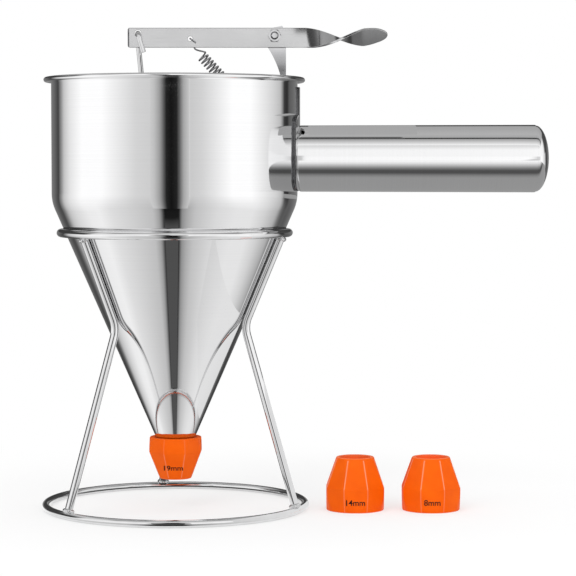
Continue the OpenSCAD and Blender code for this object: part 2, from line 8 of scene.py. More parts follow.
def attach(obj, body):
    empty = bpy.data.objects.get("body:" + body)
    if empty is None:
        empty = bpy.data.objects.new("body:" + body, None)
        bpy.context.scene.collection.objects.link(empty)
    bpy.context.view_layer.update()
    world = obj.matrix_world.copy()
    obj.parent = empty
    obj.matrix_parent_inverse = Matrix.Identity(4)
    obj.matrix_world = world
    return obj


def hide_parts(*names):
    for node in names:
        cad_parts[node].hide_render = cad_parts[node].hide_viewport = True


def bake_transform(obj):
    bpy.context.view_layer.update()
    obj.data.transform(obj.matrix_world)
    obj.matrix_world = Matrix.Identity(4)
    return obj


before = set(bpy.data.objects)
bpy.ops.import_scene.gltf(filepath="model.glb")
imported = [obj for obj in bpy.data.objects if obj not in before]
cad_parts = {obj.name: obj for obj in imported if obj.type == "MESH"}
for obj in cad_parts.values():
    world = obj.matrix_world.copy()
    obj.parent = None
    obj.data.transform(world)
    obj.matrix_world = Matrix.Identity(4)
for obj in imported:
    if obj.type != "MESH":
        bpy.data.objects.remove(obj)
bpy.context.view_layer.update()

mm = 0.001  # sizes are written in millimetres, Blender's are in metres
coneAngle = 23.55  # between the cone's side and its axis, in degrees
print("frame loaded:", len(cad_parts), "solids")


def putInScene(name, data):
    item = bpy.data.objects.new(name, data)
    bpy.context.scene.collection.objects.link(item)
    return item


cameraView = {
    "place": (67.8, -1342.4, 206.3),
    "pitchDown": 3.14,  # degrees
    "lens": 139.83, "sensor": 36.0,
    "clip": (0.01, 100),
}


def placeCamera(view):
    data = bpy.data.cameras.new("photoCamera")
    data.lens, data.sensor_width = view["lens"], view["sensor"]
    data.clip_start, data.clip_end = view["clip"]
    camera = putInScene("photoCamera", data)
    camera.location = Vector(view["place"]) * mm
    camera.rotation_euler = (math.radians(90 - view["pitchDown"]), 0, 0)
    bpy.context.scene.camera = camera


placeCamera(cameraView)


class NodeBench:  # adds nodes to one tree and links them
    def __init__(self, tree):
        self.tree = tree
        self.spot = 0

    def add(self, kind, values=None, **settings):
        node = self.tree.nodes.new(kind)
        self.spot += 1
        node.location = (self.spot % 8 * 220, -(self.spot // 8) * 260)
        for name, value in settings.items():
            setattr(node, name, value)
        for name, value in (values or {}).items():
            if hasattr(value, "is_output"):
                self.tree.links.new(value, node.inputs[name])
            else:
                node.inputs[name].default_value = value
        return node

    def maths(self, operation, a, b=0.0, c=0.0):
        return self.add("ShaderNodeMath", {0: a, 1: b, 2: c}, operation=operation).outputs[0]

    def mixed(self, factor, a, b):
        return self.add("ShaderNodeMix", {"Factor": factor, 6: a, 7: b}, data_type="RGBA").outputs[2]

    def spread(self, value, low, high, toLow=0.0, toHigh=1.0, smooth=False):
        span = {"Value": value, "From Min": low, "From Max": high, "To Min": toLow, "To Max": toHigh}
        style = "SMOOTHSTEP" if smooth else "LINEAR"
        return self.add("ShaderNodeMapRange", span, interpolation_type=style).outputs["Result"]

    def where(self, kind="Object"):
        return self.add("ShaderNodeTexCoord").outputs[kind]

    def apart(self, place):
        return self.add("ShaderNodeSeparateXYZ", {0: place}).outputs

    def cloud(self, place, scale, detail, rough=0.5):
        return self.add("ShaderNodeTexNoise", {"Vector": place, "Scale": scale, "Detail": detail,
                                               "Roughness": rough}).outputs["Fac"]

    def ramp(self, factor, stops):
        node = self.add("ShaderNodeValToRGB", {"Fac": factor})
        parts = node.color_ramp.elements
        while len(parts) < len(stops):
            parts.new(1.0)
        for part, (place, shade) in zip(parts, stops):
            part.position = place
            part.color = (shade, shade, shade, 1)
        return node.outputs["Color"]


def clearedBench(look):
    look.use_nodes = True
    look.node_tree.nodes.clear()
    return NodeBench(look.node_tree)


def shaderGroup(name, inputs):
    # a group that puts out a colour, a roughness and a height
    tree = bpy.data.node_groups.new(name, "ShaderNodeTree")
    for title, kind, value in inputs:
        socket = tree.interface.new_socket(title, in_out="INPUT", socket_type="NodeSocket" + kind)
        socket.default_value = value
    for title, kind in (("Color", "Color"), ("Roughness", "Float"), ("Height", "Float")):
        tree.interface.new_socket(title, in_out="OUTPUT", socket_type="NodeSocket" + kind)
    bench = NodeBench(tree)
    return tree, bench, bench.add("NodeGroupInput").outputs, bench.add("NodeGroupOutput").inputs


def buildMetalGrain():
    # fine drawn or polished lines and broad smudges
    tree, bench, given, out = shaderGroup(
        "metalGrain",
        [("Stretch", "Vector", (1, 1, 1)), ("Lines", "Float", 0.5), ("Smudge Size", "Float", 30.0),
         ("Tone", "Color", (0.8, 0.8, 0.8, 1)), ("Dark Tone", "Color", (0.6, 0.6, 0.6, 1)),
         ("Rough Low", "Float", 0.05), ("Rough High", "Float", 0.1)])
    place = bench.where()
    stretched = bench.add("ShaderNodeVectorMath", {0: place, 1: given["Stretch"]}, operation="MULTIPLY")
    lines = bench.cloud(stretched.outputs[0], 1.0, 3.0, 0.6)
    smudge = bench.cloud(place, given["Smudge Size"], 4.0, 0.55)
    lineShare = bench.maths("MULTIPLY", lines, given["Lines"])
    smudgeShare = bench.maths("MULTIPLY", smudge, bench.maths("SUBTRACT", 1.0, given["Lines"]))
    grain = bench.spread(bench.maths("ADD", lineShare, smudgeShare), 0.3, 0.7, smooth=True)
    link = tree.links.new
    link(bench.mixed(grain, given["Dark Tone"], given["Tone"]), out["Color"])
    link(bench.spread(grain, 0.0, 1.0, given["Rough High"], given["Rough Low"]), out["Roughness"])
    link(lines, out["Height"])
    return tree


def buildMouldSkin():
    # the skin of a moulded piece: faint mottling, and paler edges that are a painted highlight
    tree, bench, given, out = shaderGroup(
        "mouldSkin",
        [("Tone", "Color", (0.9, 0.2, 0.02, 1)), ("Deep Tone", "Color", (0.8, 0.15, 0.01, 1)),
         ("Painted Sheen Tone", "Color", (1, 0.5, 0.3, 1)), ("Edge", "Float", 0.0), ("Mottle Size", "Float", 120.0),
         ("Rough Low", "Float", 0.3), ("Rough High", "Float", 0.4)])
    place = bench.where()
    mottle = bench.cloud(place, given["Mottle Size"], 3.0)
    pores = bench.cloud(place, 2600.0, 2.0)
    body = bench.mixed(bench.spread(mottle, 0.3, 0.7), given["Deep Tone"], given["Tone"])
    link = tree.links.new
    link(bench.mixed(given["Edge"], body, given["Painted Sheen Tone"]), out["Color"])
    link(bench.spread(mottle, 0.0, 1.0, given["Rough Low"], given["Rough High"]), out["Roughness"])
    link(pores, out["Height"])
    return tree


metalGrain = buildMetalGrain()
mouldSkin = buildMouldSkin()


def skinLook(name, group, given, bump, depth, solid, mask=None):
    # a material: its skin from a group, that skin's relief, and the shader's own constants
    look = bpy.data.materials.new(name)
    bench = clearedBench(look)
    # the mask, where a piece has it, says where the painted edge highlight lies
    if mask:
        given["Edge"] = bench.add("ShaderNodeAttribute", attribute_name=mask).outputs["Fac"]
    skin = bench.add("ShaderNodeGroup", given, node_tree=group).outputs
    relief = bench.add("ShaderNodeBump", {"Height": skin["Height"], "Strength": bump, "Distance": depth})
    shown = {"Base Color": skin["Color"], "Roughness": skin["Roughness"], "Normal": relief.outputs["Normal"]}
    shader = bench.add("ShaderNodeBsdfPrincipled", {**shown, **solid})
    bench.add("ShaderNodeOutputMaterial", {"Surface": shader.outputs["BSDF"]})
    return look


def grey(tone, blue=0.005):
    return tone, tone, tone + blue, 1


def metalLook(name, tone, dark, rough, stretch, lines, smudge, bump, depth=0.00002):
    given = {"Tone": tone, "Dark Tone": dark, "Rough Low": rough[0], "Rough High": rough[1],
             "Stretch": stretch, "Lines": lines, "Smudge Size": smudge}
    return skinLook(name, metalGrain, given, bump, depth, {"Metallic": 1.0})


# an edge tone here is the colour of a painted highlight along the moulding's edges
def mouldedLook(name, tone, deep, edge, rough, mottle, bump=0.04, shine=0.5):
    given = {"Tone": (*tone, 1), "Deep Tone": (*deep, 1), "Painted Sheen Tone": (*edge, 1), "Mottle Size": mottle,
             "Rough Low": rough[0], "Rough High": rough[1]}
    solid = {"Metallic": 0.0, "IOR": 1.46, "Specular IOR Level": shine}
    return skinLook(name, mouldSkin, given, bump, 0.00005, solid, "paintedEdgeSheen")


# A metal's values: tone, dark tone, least and most roughness, its lines' stretch and share, smudges, bump.
# A moulded skin's: tone, deep tone, edge tone (a painted highlight), least and most roughness, mottling,
# bump, shine.
finishes = {
    "hopper": metalLook("polishedHopper", grey(0.84), grey(0.81), (0.03, 0.045), (6, 6, 2600), 0.6, 22,
                        0.008),
    "handle": metalLook("polishedHandle", grey(0.84), grey(0.81), (0.035, 0.06), (2200, 8, 8), 0.6, 25, 0.01),
    # a dark finish for sawn ends, also laid on sheet edges as painted shade
    "cut": metalLook("cutEndAndPaintedShade", grey(0.22), grey(0.1), (0.16, 0.28), (600, 600, 600), 0.5, 200, 0.05),
    "wire": metalLook("brightWire", grey(0.8), grey(0.76), (0.03, 0.05), (40, 40, 40), 0.0, 120, 0.0),
    "rod": metalLook("rodWire", grey(0.7), grey(0.62), (0.03, 0.05), (40, 40, 40), 0.0, 120, 0.0),
    "weld": metalLook("weldBead", grey(0.78, 0.01), grey(0.5, 0), (0.14, 0.3), (700, 700, 700), 0.6, 400, 0.3,
                      depth=0.0001),
    "lever": metalLook("satinLever", grey(0.61), grey(0.58), (0.15, 0.2), (40, 40, 2500), 0.5, 40, 0.012),
    "bracket": metalLook("satinBracket", grey(0.6, 0.01), grey(0.55, 0.01), (0.05, 0.09), (40, 40, 1500),
                         0.5, 60, 0.02),
    "fastener": metalLook("zincFastener", grey(0.62, 0.01), grey(0.5, 0.01), (0.04, 0.08), (900, 900, 900),
                          0.4, 300, 0.02),
    "spring": metalLook("springWire", grey(0.5, 0.01), grey(0.32, 0.01), (0.03, 0.06), (900, 900, 900),
                        0.4, 400, 0.01),
    "orange": mouldedLook("orangePlastic", (0.93, 0.128, 0.0), (0.87, 0.108, 0.0), (0.95, 0.4, 0.25),
                          (0.42, 0.5), 90, shine=0.1),
    "rubber": mouldedLook("whiteRubber", (0.8, 0.8, 0.77), (0.7, 0.7, 0.67), (0.84, 0.84, 0.82),
                          (0.55, 0.7), 200, bump=0.1),
    "print": mouldedLook("darkPrint", (0.012, 0.005, 0.003), (0.008, 0.004, 0.003), (0.05, 0.015, 0.01),
                         (0.55, 0.7), 800, shine=0.2),
}
print("materials ready:", len(finishes))


def mendMesh(mesh, merge=True):
    work = bmesh.new()
    work.from_mesh(mesh)
    if merge:
        bmesh.ops.remove_doubles(work, verts=work.verts, dist=2e-7)
    bmesh.ops.recalc_face_normals(work, faces=work.faces)
    work.to_mesh(mesh)
    work.free()


def smoothUpTo(mesh, crease):
    mesh.shade_smooth()
    mesh.set_sharp_from_angle(angle=math.radians(crease))


def meshPiece(name, form, finish, body, stands=(), crease=35, merge=True):
    # a form is its points, in mm, and its faces
    mesh = bpy.data.meshes.new(name)
    mesh.from_pydata([Vector(p) * mm for p in form[0]], [], form[1])
    mendMesh(mesh, merge)
    smoothUpTo(mesh, crease)
    mesh.materials.append(finishes[finish])
    piece = putInScene(name, mesh)
    if stands:
        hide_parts(*stands)
    if body:
        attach(piece, body)
    return piece


def settleModifiers(piece, crease=None):
    # writes the piece's modifiers into its mesh
    seen = piece.evaluated_get(bpy.context.evaluated_depsgraph_get())
    mesh = bpy.data.meshes.new_from_object(seen)
    piece.modifiers.clear()
    piece.data = mesh
    if crease:
        smoothUpTo(mesh, crease)


def carve(piece, name, form, crease):
    # cuts a closed form out of a piece
    cutter = putInScene(name, bpy.data.meshes.new(name))
    cutter.data.from_pydata([Vector(p) * mm for p in form[0]], [], form[1])
    mendMesh(cutter.data)
    cut = piece.modifiers.new(name, "BOOLEAN")
    cut.object, cut.solver = cutter, "EXACT"
    settleModifiers(piece, crease)
    bpy.data.objects.remove(cutter)


def softenEdges(piece, width, segments):
    soft = piece.modifiers.new("edges", "BEVEL")
    soft.width, soft.segments = width * mm, segments
    soft.limit_method, soft.angle_limit = "ANGLE", math.radians(50)


def darkenCutsAndPaintShade(piece, takesDarkFinish):
    # gives chosen faces their darker finish: a wire's sawn end, and painted shade on sheet edges that stand
    # for dark reflections and shadow
    piece.data.materials.append(finishes["cut"])
    for face in piece.data.polygons:
        face.material_index = 1 if takesDarkFinish(face) else 0


def bow(degrees):
    return math.cos(math.radians(degrees)), math.sin(math.radians(degrees))


def roundTurn(count):
    return [2 * math.pi * k / count for k in range(count)]


def skinned(rings, closed=False):
    # points and faces of a skin over rings, with flat ends unless it closes on itself
    count, size = len(rings), len(rings[0])
    faces = []
    for i in range(count if closed else count - 1):
        a, b = i * size, (i + 1) % count * size
        for k in range(size):
            faces.append((a + k, a + (k + 1) % size, b + (k + 1) % size, b + k))
    if not closed:
        faces += [tuple(range(size))[::-1], tuple(range((count - 1) * size, count * size))]
    return [p for ring in rings for p in ring], faces


def turned(profile, sides):
    # a closed profile of (radius, height) turned about Z. A radius may be a function of the angle
    rings = []
    for radius, height in profile:
        ring = []
        for angle in roundTurn(sides):
            r = radius(angle) if callable(radius) else radius
            ring.append((r * math.cos(angle), r * math.sin(angle), height))
        rings.append(ring)
    return skinned(rings, closed=True)


def arcPoints(cx, cy, r, start, stop, steps):
    turns = [bow(start + (stop - start) * i / steps) for i in range(steps + 1)]
    return [(cx + r * across, cy + r * up) for across, up in turns]


def curve(a, b, c, d, steps):
    made = []
    for i in range(1, steps + 1):
        t = i / steps
        s = 1 - t
        made.append(s * s * s * a + 3 * s * s * t * b + 3 * s * t * t * c + t * t * t * d)
    return made


def strideOf(a, b, steps):
    return [a + (b - a) * i / steps for i in range(steps)]


def wireAlong(path, radius, sides, closed=False):
    # a round wire along a path. The radius may be a function of (distance, angle)
    path = [Vector(p) for p in path]
    count = len(path)
    tangents = []
    for i in range(count):
        before = path[(i - 1) % count] if closed else path[max(i - 1, 0)]
        after = path[(i + 1) % count] if closed else path[min(i + 1, count - 1)]
        tangents.append((after - before).normalized())
    side = Vector((0.1, 1, 0.2))
    rings, travelled = [], 0.0
    for i, (point, tangent) in enumerate(zip(path, tangents)):
        if i:
            travelled += (point - path[i - 1]).length
        side = (side - side.dot(tangent) * tangent).normalized()
        other = tangent.cross(side)
        ring = []
        for angle in roundTurn(sides):
            r = radius(travelled, angle) if callable(radius) else radius
            ring.append(point + r * (math.cos(angle) * side + math.sin(angle) * other))
        rings.append(ring)
    return skinned(rings, closed)


def moved(form, matrix):
    return [matrix @ Vector(p) for p in form[0]], form[1]


def alongDepth(x, depth, z):
    # turns a form made about Z so that its Z points to the front, with its foot at that depth
    return Matrix.Translation((x, depth, z)) @ Matrix.Rotation(math.radians(90), 4, "X")


standSizes = {
    "wire": 4.8, "wireSides": 28, "ringTurns": 240, "footFlat": 0.2,
    "baseRadius": 78.0,
    "supportRadius": 68.3, "supportHeight": 166.0,
    "bendHeight": 110.8, "bendRadius": 16.0,
    "rearLegTurn": 98.8, "legTwist": 2.4,
    "weldCover": 1.6,  # how far a leg's end stays short of the ring's middle, inside its weld
    "beads": 9, "beadSize": 1.5, "topBeadShare": 0.85, "beadUneven": 0.22, "beadWander": 0.5,
    "beadVoxel": 0.32, "footSeed": 3, "topSeed": 11,
}


def ringWire(radius, height, sizes):
    path = [(radius * math.cos(a), radius * math.sin(a), height) for a in roundTurn(sizes["ringTurns"])]
    points, faces = wireAlong(path, sizes["wire"] / 2, sizes["wireSides"], closed=True)
    return [(p[0], p[1], max(p[2], 0.0)) for p in points], faces


def legPath(sizes):
    # one leg in the XZ plane: its foot, its bend and its top, with the ways that its straight ends run
    cone = math.radians(coneAngle)
    baseHeight = sizes["wire"] / 2 - sizes["footFlat"]
    bendX = sizes["supportRadius"] - (sizes["supportHeight"] - sizes["bendHeight"]) * math.tan(cone)
    splay = math.atan((sizes["baseRadius"] - bendX) / (sizes["bendHeight"] - baseHeight))
    reach = sizes["bendRadius"] * math.tan((cone + splay) / 2)
    low = Vector((-math.sin(splay), 0, math.cos(splay)))
    high = Vector((math.sin(cone), 0, math.cos(cone)))
    centre = (Vector((bendX, 0, sizes["bendHeight"])) + reach * high
              + sizes["bendRadius"] * Vector((math.cos(cone), 0, -math.sin(cone))))
    foot = Vector((sizes["baseRadius"], 0, baseHeight))
    top = Vector((sizes["supportRadius"], 0, sizes["supportHeight"]))
    bent, steps = [], 20
    for i in range(steps + 1):
        a = splay - (cone + splay) * i / steps
        bent.append(centre - sizes["bendRadius"] * Vector((math.cos(a), 0, math.sin(a))))
    return foot, bent, top, low, high


def weldRound(name, joint, along, blob, seed, sizes):
    # a weld: a chain of small beads round the end of a wire, run together
    noise.seed_set(seed)
    side = along.cross(Vector((0, 1, 0))).normalized()
    other = along.cross(side).normalized()
    half, wander = sizes["wire"] / 2, sizes["beadWander"]
    points, faces = [], []
    for k, a in enumerate(roundTurn(sizes["beads"])):
        size = blob * (1 + sizes["beadUneven"] * noise.noise(Vector((k * 1.7, seed, 0.3))))
        lift = half + wander + wander * noise.noise(Vector((k, seed * 2.0, 1)))
        middle = joint + along * lift + (half - wander / 2) * (math.cos(a) * side + math.sin(a) * other)
        ball = bmesh.new()
        bmesh.ops.create_icosphere(ball, subdivisions=3, radius=size)
        start = len(points)
        points += [middle + v.co for v in ball.verts]
        faces += [tuple(start + v.index for v in f.verts) for f in ball.faces]
        ball.free()
    bead = meshPiece(name, (points, faces), "weld", None, merge=False)
    melt = bead.modifiers.new("melt", "REMESH")
    melt.mode, melt.voxel_size = "VOXEL", sizes["beadVoxel"] * mm
    soften = bead.modifiers.new("soften", "SMOOTH")
    soften.factor, soften.iterations = 0.5, 4
    settleModifiers(bead, crease=80)
    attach(bead, "stand")


def buildStand(sizes):
    base = ringWire(sizes["baseRadius"], sizes["wire"] / 2 - sizes["footFlat"], sizes)
    meshPiece("baseRingWire", base, "wire", "stand", ["base_ring"])
    support = ringWire(sizes["supportRadius"], sizes["supportHeight"], sizes)
    meshPiece("supportRingWire", support, "wire", "stand", ["support_ring"])
    foot, bent, top, low, high = legPath(sizes)
    cover, bead = sizes["weldCover"], sizes["beadSize"]
    for i, side in enumerate(("Rear", "Left", "Right")):
        footTurn = Matrix.Rotation(math.radians(sizes["rearLegTurn"] + 120 * i), 3, "Z")
        turn = Matrix.Rotation(math.radians(sizes["rearLegTurn"] + sizes["legTwist"] + 120 * i), 3, "Z")
        placed = [turn @ p for p in bent]
        end = turn @ (top - cover * high)
        path = strideOf(footTurn @ (foot + cover * low), placed[0], 6) + placed[:-1]
        path += strideOf(placed[-1], end, 6) + [end]
        leg = wireAlong(path, sizes["wire"] / 2, sizes["wireSides"])
        meshPiece("legWire" + side, leg, "wire", "stand", ["leg_" + side.lower()])
        weldRound("weldFoot" + side, footTurn @ foot, footTurn @ low, bead, sizes["footSeed"] + i, sizes)
        weldRound("weldTop" + side, turn @ top, -(turn @ high), bead * sizes["topBeadShare"],
                  sizes["topSeed"] + i, sizes)
    print("stand built: 2 rings, 3 legs, 6 welds")


buildStand(standSizes)


hopperSizes = {
    "wallRadius": 73.5, "sheet": 0.8,
    "neckRadius": 11.0, "neckTop": 41.04, "neckLength": 9.2, "neckEdge": 0.2,
    "shoulderRadius": 25.5, "shoulderHeight": 189.754,
    "rimHeight": 257.088, "rimOut": 3.05, "rimThick": 2.9,
    "sides": 256,
}


def buildHopper(sizes):
    wall, sheet = sizes["wallRadius"], sizes["sheet"]
    bend, bendZ = sizes["shoulderRadius"], sizes["shoulderHeight"]
    rimR, rimZ, rimOut = wall + sizes["rimOut"], sizes["rimHeight"], sizes["rimOut"]
    bead = sizes["rimThick"] / 2
    flareZ = rimZ + bead - rimOut - sheet
    apart = rimZ - flareZ
    meet = (rimOut ** 2 - bead ** 2 + apart ** 2) / (2 * apart)  # where flare and bead cross
    flareStop = 180 - math.degrees(math.asin(meet / rimOut))
    beadStart = 180 - math.degrees(math.asin((meet - apart) / bead))
    neckR, neckZ = sizes["neckRadius"], sizes["neckTop"]
    coneTop = arcPoints(wall - bend, bendZ, bend, -coneAngle, 0, 24)
    coneInside = arcPoints(wall - bend, bendZ, bend - sheet, 0, -coneAngle, 24)

    def straight(a, b, steps):
        return [(a[0] + (b[0] - a[0]) * i / steps, a[1] + (b[1] - a[1]) * i / steps) for i in range(1, steps)]

    profile = [(neckR, neckZ)]
    profile += straight(profile[0], coneTop[0], 30) + coneTop
    profile += straight(coneTop[-1], (wall, flareZ), 20)
    profile += arcPoints(rimR, flareZ, rimOut, 180, flareStop, 10)  # the wall turns out
    profile += arcPoints(rimR, rimZ, bead, beadStart, 450, 40)  # and rolls into a bead
    profile += arcPoints(rimR, flareZ, rimOut + sheet, 90, 180, 12)[1:]
    profile += straight((wall - sheet, flareZ), coneInside[0], 20) + coneInside
    last = (neckR - sheet / math.cos(math.radians(coneAngle)), neckZ)
    profile += straight(coneInside[-1], last, 30) + [last]
    meshPiece("hopperShell", turned(profile, sizes["sides"]), "hopper", "funnel", ["hopper"], crease=50)

    low, soft = neckZ - sizes["neckLength"], sizes["neckEdge"]
    tube = [(neckR, neckZ), (neckR - sheet, neckZ), (neckR - sheet, low + soft), (neckR - sheet + soft, low),
            (neckR - soft, low), (neckR, low + soft)]
    meshPiece("outletNeck", turned(tube[::-1], 96), "hopper", "funnel", ["outlet_neck"])
    print("hopper built: shell and neck")


buildHopper(hopperSizes)


handleSizes = {
    "axisHeight": 210.288,
    "rootX": hopperSizes["wallRadius"], "length": 142.2,
    "rootRadius": 19.8, "endRadius": 20.2, "tubeWall": 1.0, "sides": 160, "edgeEase": 0.12,
    "saddle": 75.1,
    "ventDiameter": 2.4, "ventX": 76.61, "ventUp": 15.44, "ventReach": (-4, -30),
    "capDepth": 8.0, "capStep": 0.4, "capEase": 0.15, "seam": 0.05,
    "plateInner": 73.56, "plateOuter": 75.05, "plateEdge": 0.3,
    "flangeWidth": 39.6, "flangeLow": 190.99, "flangeHigh": 236.09, "flangeCorner": 8.0,
    "strapWidth": 18.0, "strapTop": 252.69,
}


def buildHandleTube(sizes):
    z0, rootR, endR = sizes["axisHeight"], sizes["rootRadius"], sizes["endRadius"]
    endX = sizes["rootX"] + sizes["length"]
    shares = [0, 0.002, 0.006, 0.012, 0.025, 0.05, 0.1, 0.2, 0.35, 0.5, 0.65, 0.8, 0.92, 0.995, 1]

    def ring(share, inside):
        made = []
        for a in roundTurn(sizes["sides"]):
            start = math.sqrt(sizes["saddle"] ** 2 - ((rootR - inside) * math.sin(a)) ** 2)
            r = rootR + (endR - rootR) * share - inside
            if share in (0, 1) and not inside:
                r -= sizes["edgeEase"]
            made.append((start + (endX - start) * share, r * math.sin(a), z0 + r * math.cos(a)))
        return made

    rings = [ring(s, 0) for s in shares] + [ring(s, sizes["tubeWall"]) for s in reversed(shares)]
    tube = meshPiece("handleTube", skinned(rings, closed=True), "handle", None, ["handle_tube"], crease=50)
    r, x, z = sizes["ventDiameter"] / 2, sizes["ventX"], z0 + sizes["ventUp"]
    drill = skinned([[(x + r * math.cos(a), y, z + r * math.sin(a)) for a in roundTurn(32)]
                     for y in sizes["ventReach"]])
    carve(tube, "ventDrill", drill, 50)
    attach(tube, "funnel")


def buildHandleCap(sizes):
    r, deep, wall = sizes["endRadius"] - sizes["capStep"], sizes["capDepth"], sizes["tubeWall"]
    bows = [math.radians(90 * i / 40) for i in range(41)]
    profile = [(r - sizes["capEase"], 0)] + [(r * math.cos(a), deep * math.sin(a)) for a in bows]
    profile += [((r - wall) * math.cos(a), (deep - wall) * math.sin(a)) for a in reversed(bows)]
    foot = Matrix.Translation((sizes["rootX"] + sizes["length"] + sizes["seam"], 0, sizes["axisHeight"]))
    form = moved(turned(profile, sizes["sides"]), foot @ Matrix.Rotation(math.radians(90), 4, "Y"))
    meshPiece("handleCap", form, "handle", "funnel", ["handle_cap"], crease=50)


def buildHandlePlate(sizes):
    # columns round the wall, each from the plate's lower edge to its upper one
    half, corner, strap = sizes["flangeWidth"] / 2, sizes["flangeCorner"], sizes["strapWidth"] / 2
    inner, outer, strapTop = sizes["plateInner"], sizes["plateOuter"], sizes["strapTop"]
    stations = {round(-half + i * half / 30, 3) for i in range(61)} | {-strap, strap}
    stations |= {round(s * (half - corner + corner * bow(a)[1]), 3)
                 for a in range(0, 91, 10) for s in (-1, 1)}
    columns = []
    for s in sorted(stations):
        past = max(0.0, abs(s) - (half - corner))
        drop = corner - math.sqrt(max(0.0, corner ** 2 - past ** 2))
        low, high = sizes["flangeLow"] + drop, sizes["flangeHigh"] - drop
        if abs(s) < strap - 1e-6:
            columns.append((s, low, strapTop))
        elif abs(abs(s) - strap) < 1e-6:
            pair = [(s, low, high), (s, low, strapTop)]
            columns += pair if s < 0 else pair[::-1]
        else:
            columns.append((s, low, high))
    rings = []
    for s, low, high in columns:
        x, y = math.cos(s / outer), math.sin(s / outer)
        rings.append([(inner * x, inner * y, low), (outer * x, outer * y, low),
                      (outer * x, outer * y, high), (inner * x, inner * y, high)])
    plate = meshPiece("handlePlate", skinned(rings), "handle", None, ["handle_plate"], crease=40)
    softenEdges(plate, sizes["plateEdge"], 3)
    settleModifiers(plate, crease=40)
    # only the sheet's two sides are polished: its cut edges get the dark finish, which also paints the shadow
    # of the gap beside the wall
    darkenCutsAndPaintShade(plate, lambda face: abs(face.normal.dot(
        Vector((face.center.x, face.center.y, 0)).normalized())) <= 0.75)
    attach(plate, "funnel")


buildHandleTube(handleSizes)
buildHandleCap(handleSizes)
buildHandlePlate(handleSizes)
print("handle built: tube, cap and plate")


leverSizes = {
    "width": 11.7, "thick": 1.5, "middle": 282.188, "back": -2.0,
    "holes": {"pivot": (59.8, 283.288, 2.06), "rod": (-21.6, 284.788, 2.087), "spring": (9.5, 281.638, 1.5)},
    "holeEdge": 0.15,
    # the last two sizes on the next line are the widths of the painted dark reflection at the left end and
    # along the upper edge
    "left": -27.7, "corner": 1.2, "edge": 0.25, "paintedEndShade": 0.8, "paintedEdgeShade": 0.27,
    "twistStart": 18.8, "tabLength": 48.5, "tabTwist": 145.0, "twistLength": 34.2, "tabTip": 15.3,
    "tipLeast": 0.06, "tabDip": 1.1, "tabRise": 1.8, "dipLength": 42.2,
}


def holeMiddle(lever, name):
    x, z = lever["holes"][name][:2]
    return Vector((x, lever["back"] - lever["thick"] / 2, z))


def leverSection(centre, turn, half, sizes):
    # a strip's section with softened corners, turned about X
    up, out = Vector((0, math.sin(turn), math.cos(turn))), Vector((0, -math.cos(turn), math.sin(turn)))
    edge = min(sizes["edge"], half * 0.6)
    rise, reach = half - edge, sizes["thick"] / 2 - edge
    made = []
    for su, sv, first in ((1, 1, 0), (-1, 1, 90), (-1, -1, 180), (1, -1, 270)):
        for step in (0, 30, 60, 90):
            upward, outward = bow(first + step)
            made.append(centre + up * (su * rise + edge * upward) + out * (sv * reach + edge * outward))
    return made


def buildLever(sizes):
    half, tab, tip, corner = sizes["width"] / 2, sizes["tabLength"], sizes["tabTip"], sizes["corner"]
    left, back, front = sizes["left"], sizes["back"], sizes["back"] - sizes["thick"]
    middle, cornerStop = back - sizes["thick"] / 2, left + corner
    flatStop = sizes["holes"]["pivot"][0] + sizes["twistStart"]

    def section(x, half, turn=0.0, lift=0.0):
        return leverSection(Vector((x, middle, sizes["middle"] + lift)), turn, half, sizes)

    rings = [section(left + corner * (1 - bow(a)[1]), half - corner * (1 - bow(90 - a)[1]))
             for a in range(90, -1, -15)]  # the rounded left end
    rings += [section(cornerStop + (flatStop - cornerStop) * i / 40, half) for i in range(1, 40)]
    stations = [(tab - tip) * i / 56 for i in range(57)]
    stations += [tab - tip + tip * bow(90 * i / 20)[1] for i in range(1, 21)]
    for s in stations:
        past = max(0, s - (tab - tip)) / tip
        shown = half * max(sizes["tipLeast"], math.sqrt(max(0, 1 - past * past)))
        turn = math.radians(sizes["tabTwist"] * min(1, s / sizes["twistLength"]))
        dip = sizes["tabDip"] * math.sin(math.pi * min(1, s / sizes["dipLength"]))
        rings.append(section(flatStop + s, shown, turn, sizes["tabRise"] * (s / tab) ** 2 - dip))
    lever = meshPiece("leverStrip", skinned(rings), "lever", None, ["lever"], crease=50)
    soft = sizes["holeEdge"]
    for x, z, r in sizes["holes"].values():
        wide = r + soft + 1
        profile = [(0, back + 1), (wide, back + 1), (r, back - soft), (r, front + soft), (wide, front - 1),
                   (0, front - 1)]
        cutter = turned([(radius, -depth) for radius, depth in profile], 48)
        carve(lever, "holeCutter", moved(cutter, alongDepth(x, 0, z)), 40)
    flats = lever.modifiers.new("flats", "WEIGHTED_NORMAL")  # keeps the strip's flat sides flat to the light
    flats.keep_sharp = True
    settleModifiers(lever)

    # painted dark reflection: the left end and the upper edge get the dark finish, the lower edge keeps the
    # lever's own
    def takesDarkFinish(face):  # the left end and the upper edge
        x, z = face.center.x / mm, face.center.z / mm
        return x < left + sizes["paintedEndShade"] or x < flatStop and z > sizes["middle"] + half - sizes["paintedEdgeShade"]

    darkenCutsAndPaintShade(lever, takesDarkFinish)
    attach(lever, "lever")


pivotSizes = {
    "boltRadius": 2.0, "pitch": 0.7, "headRadius": 3.8, "headHeight": 2.48, "headRim": 0.35,
    "nutAcross": 7.0, "nutHeight": 3.2, "nutBack": -3.6, "boltEnd": 0.9,
    "washerRadius": 4.4, "washerThick": 0.8, "washerFront": -1.95, "washerEdge": 0.12,
    "earBack": 0.4, "gap": 0.05, "threadDeep": 0.32, "threadFlat": 0.04, "headEdge": 0.15,
    "slotWidth": 1.0, "slotFloor": 0.55,  # the slot's floor is a share of the head's height
}


def fromFlat(angle, sides):
    # the turn from the middle of the nearest flat of a form with that many sides
    half = math.radians(180 / sides)
    return (angle + half) % (2 * half) - half


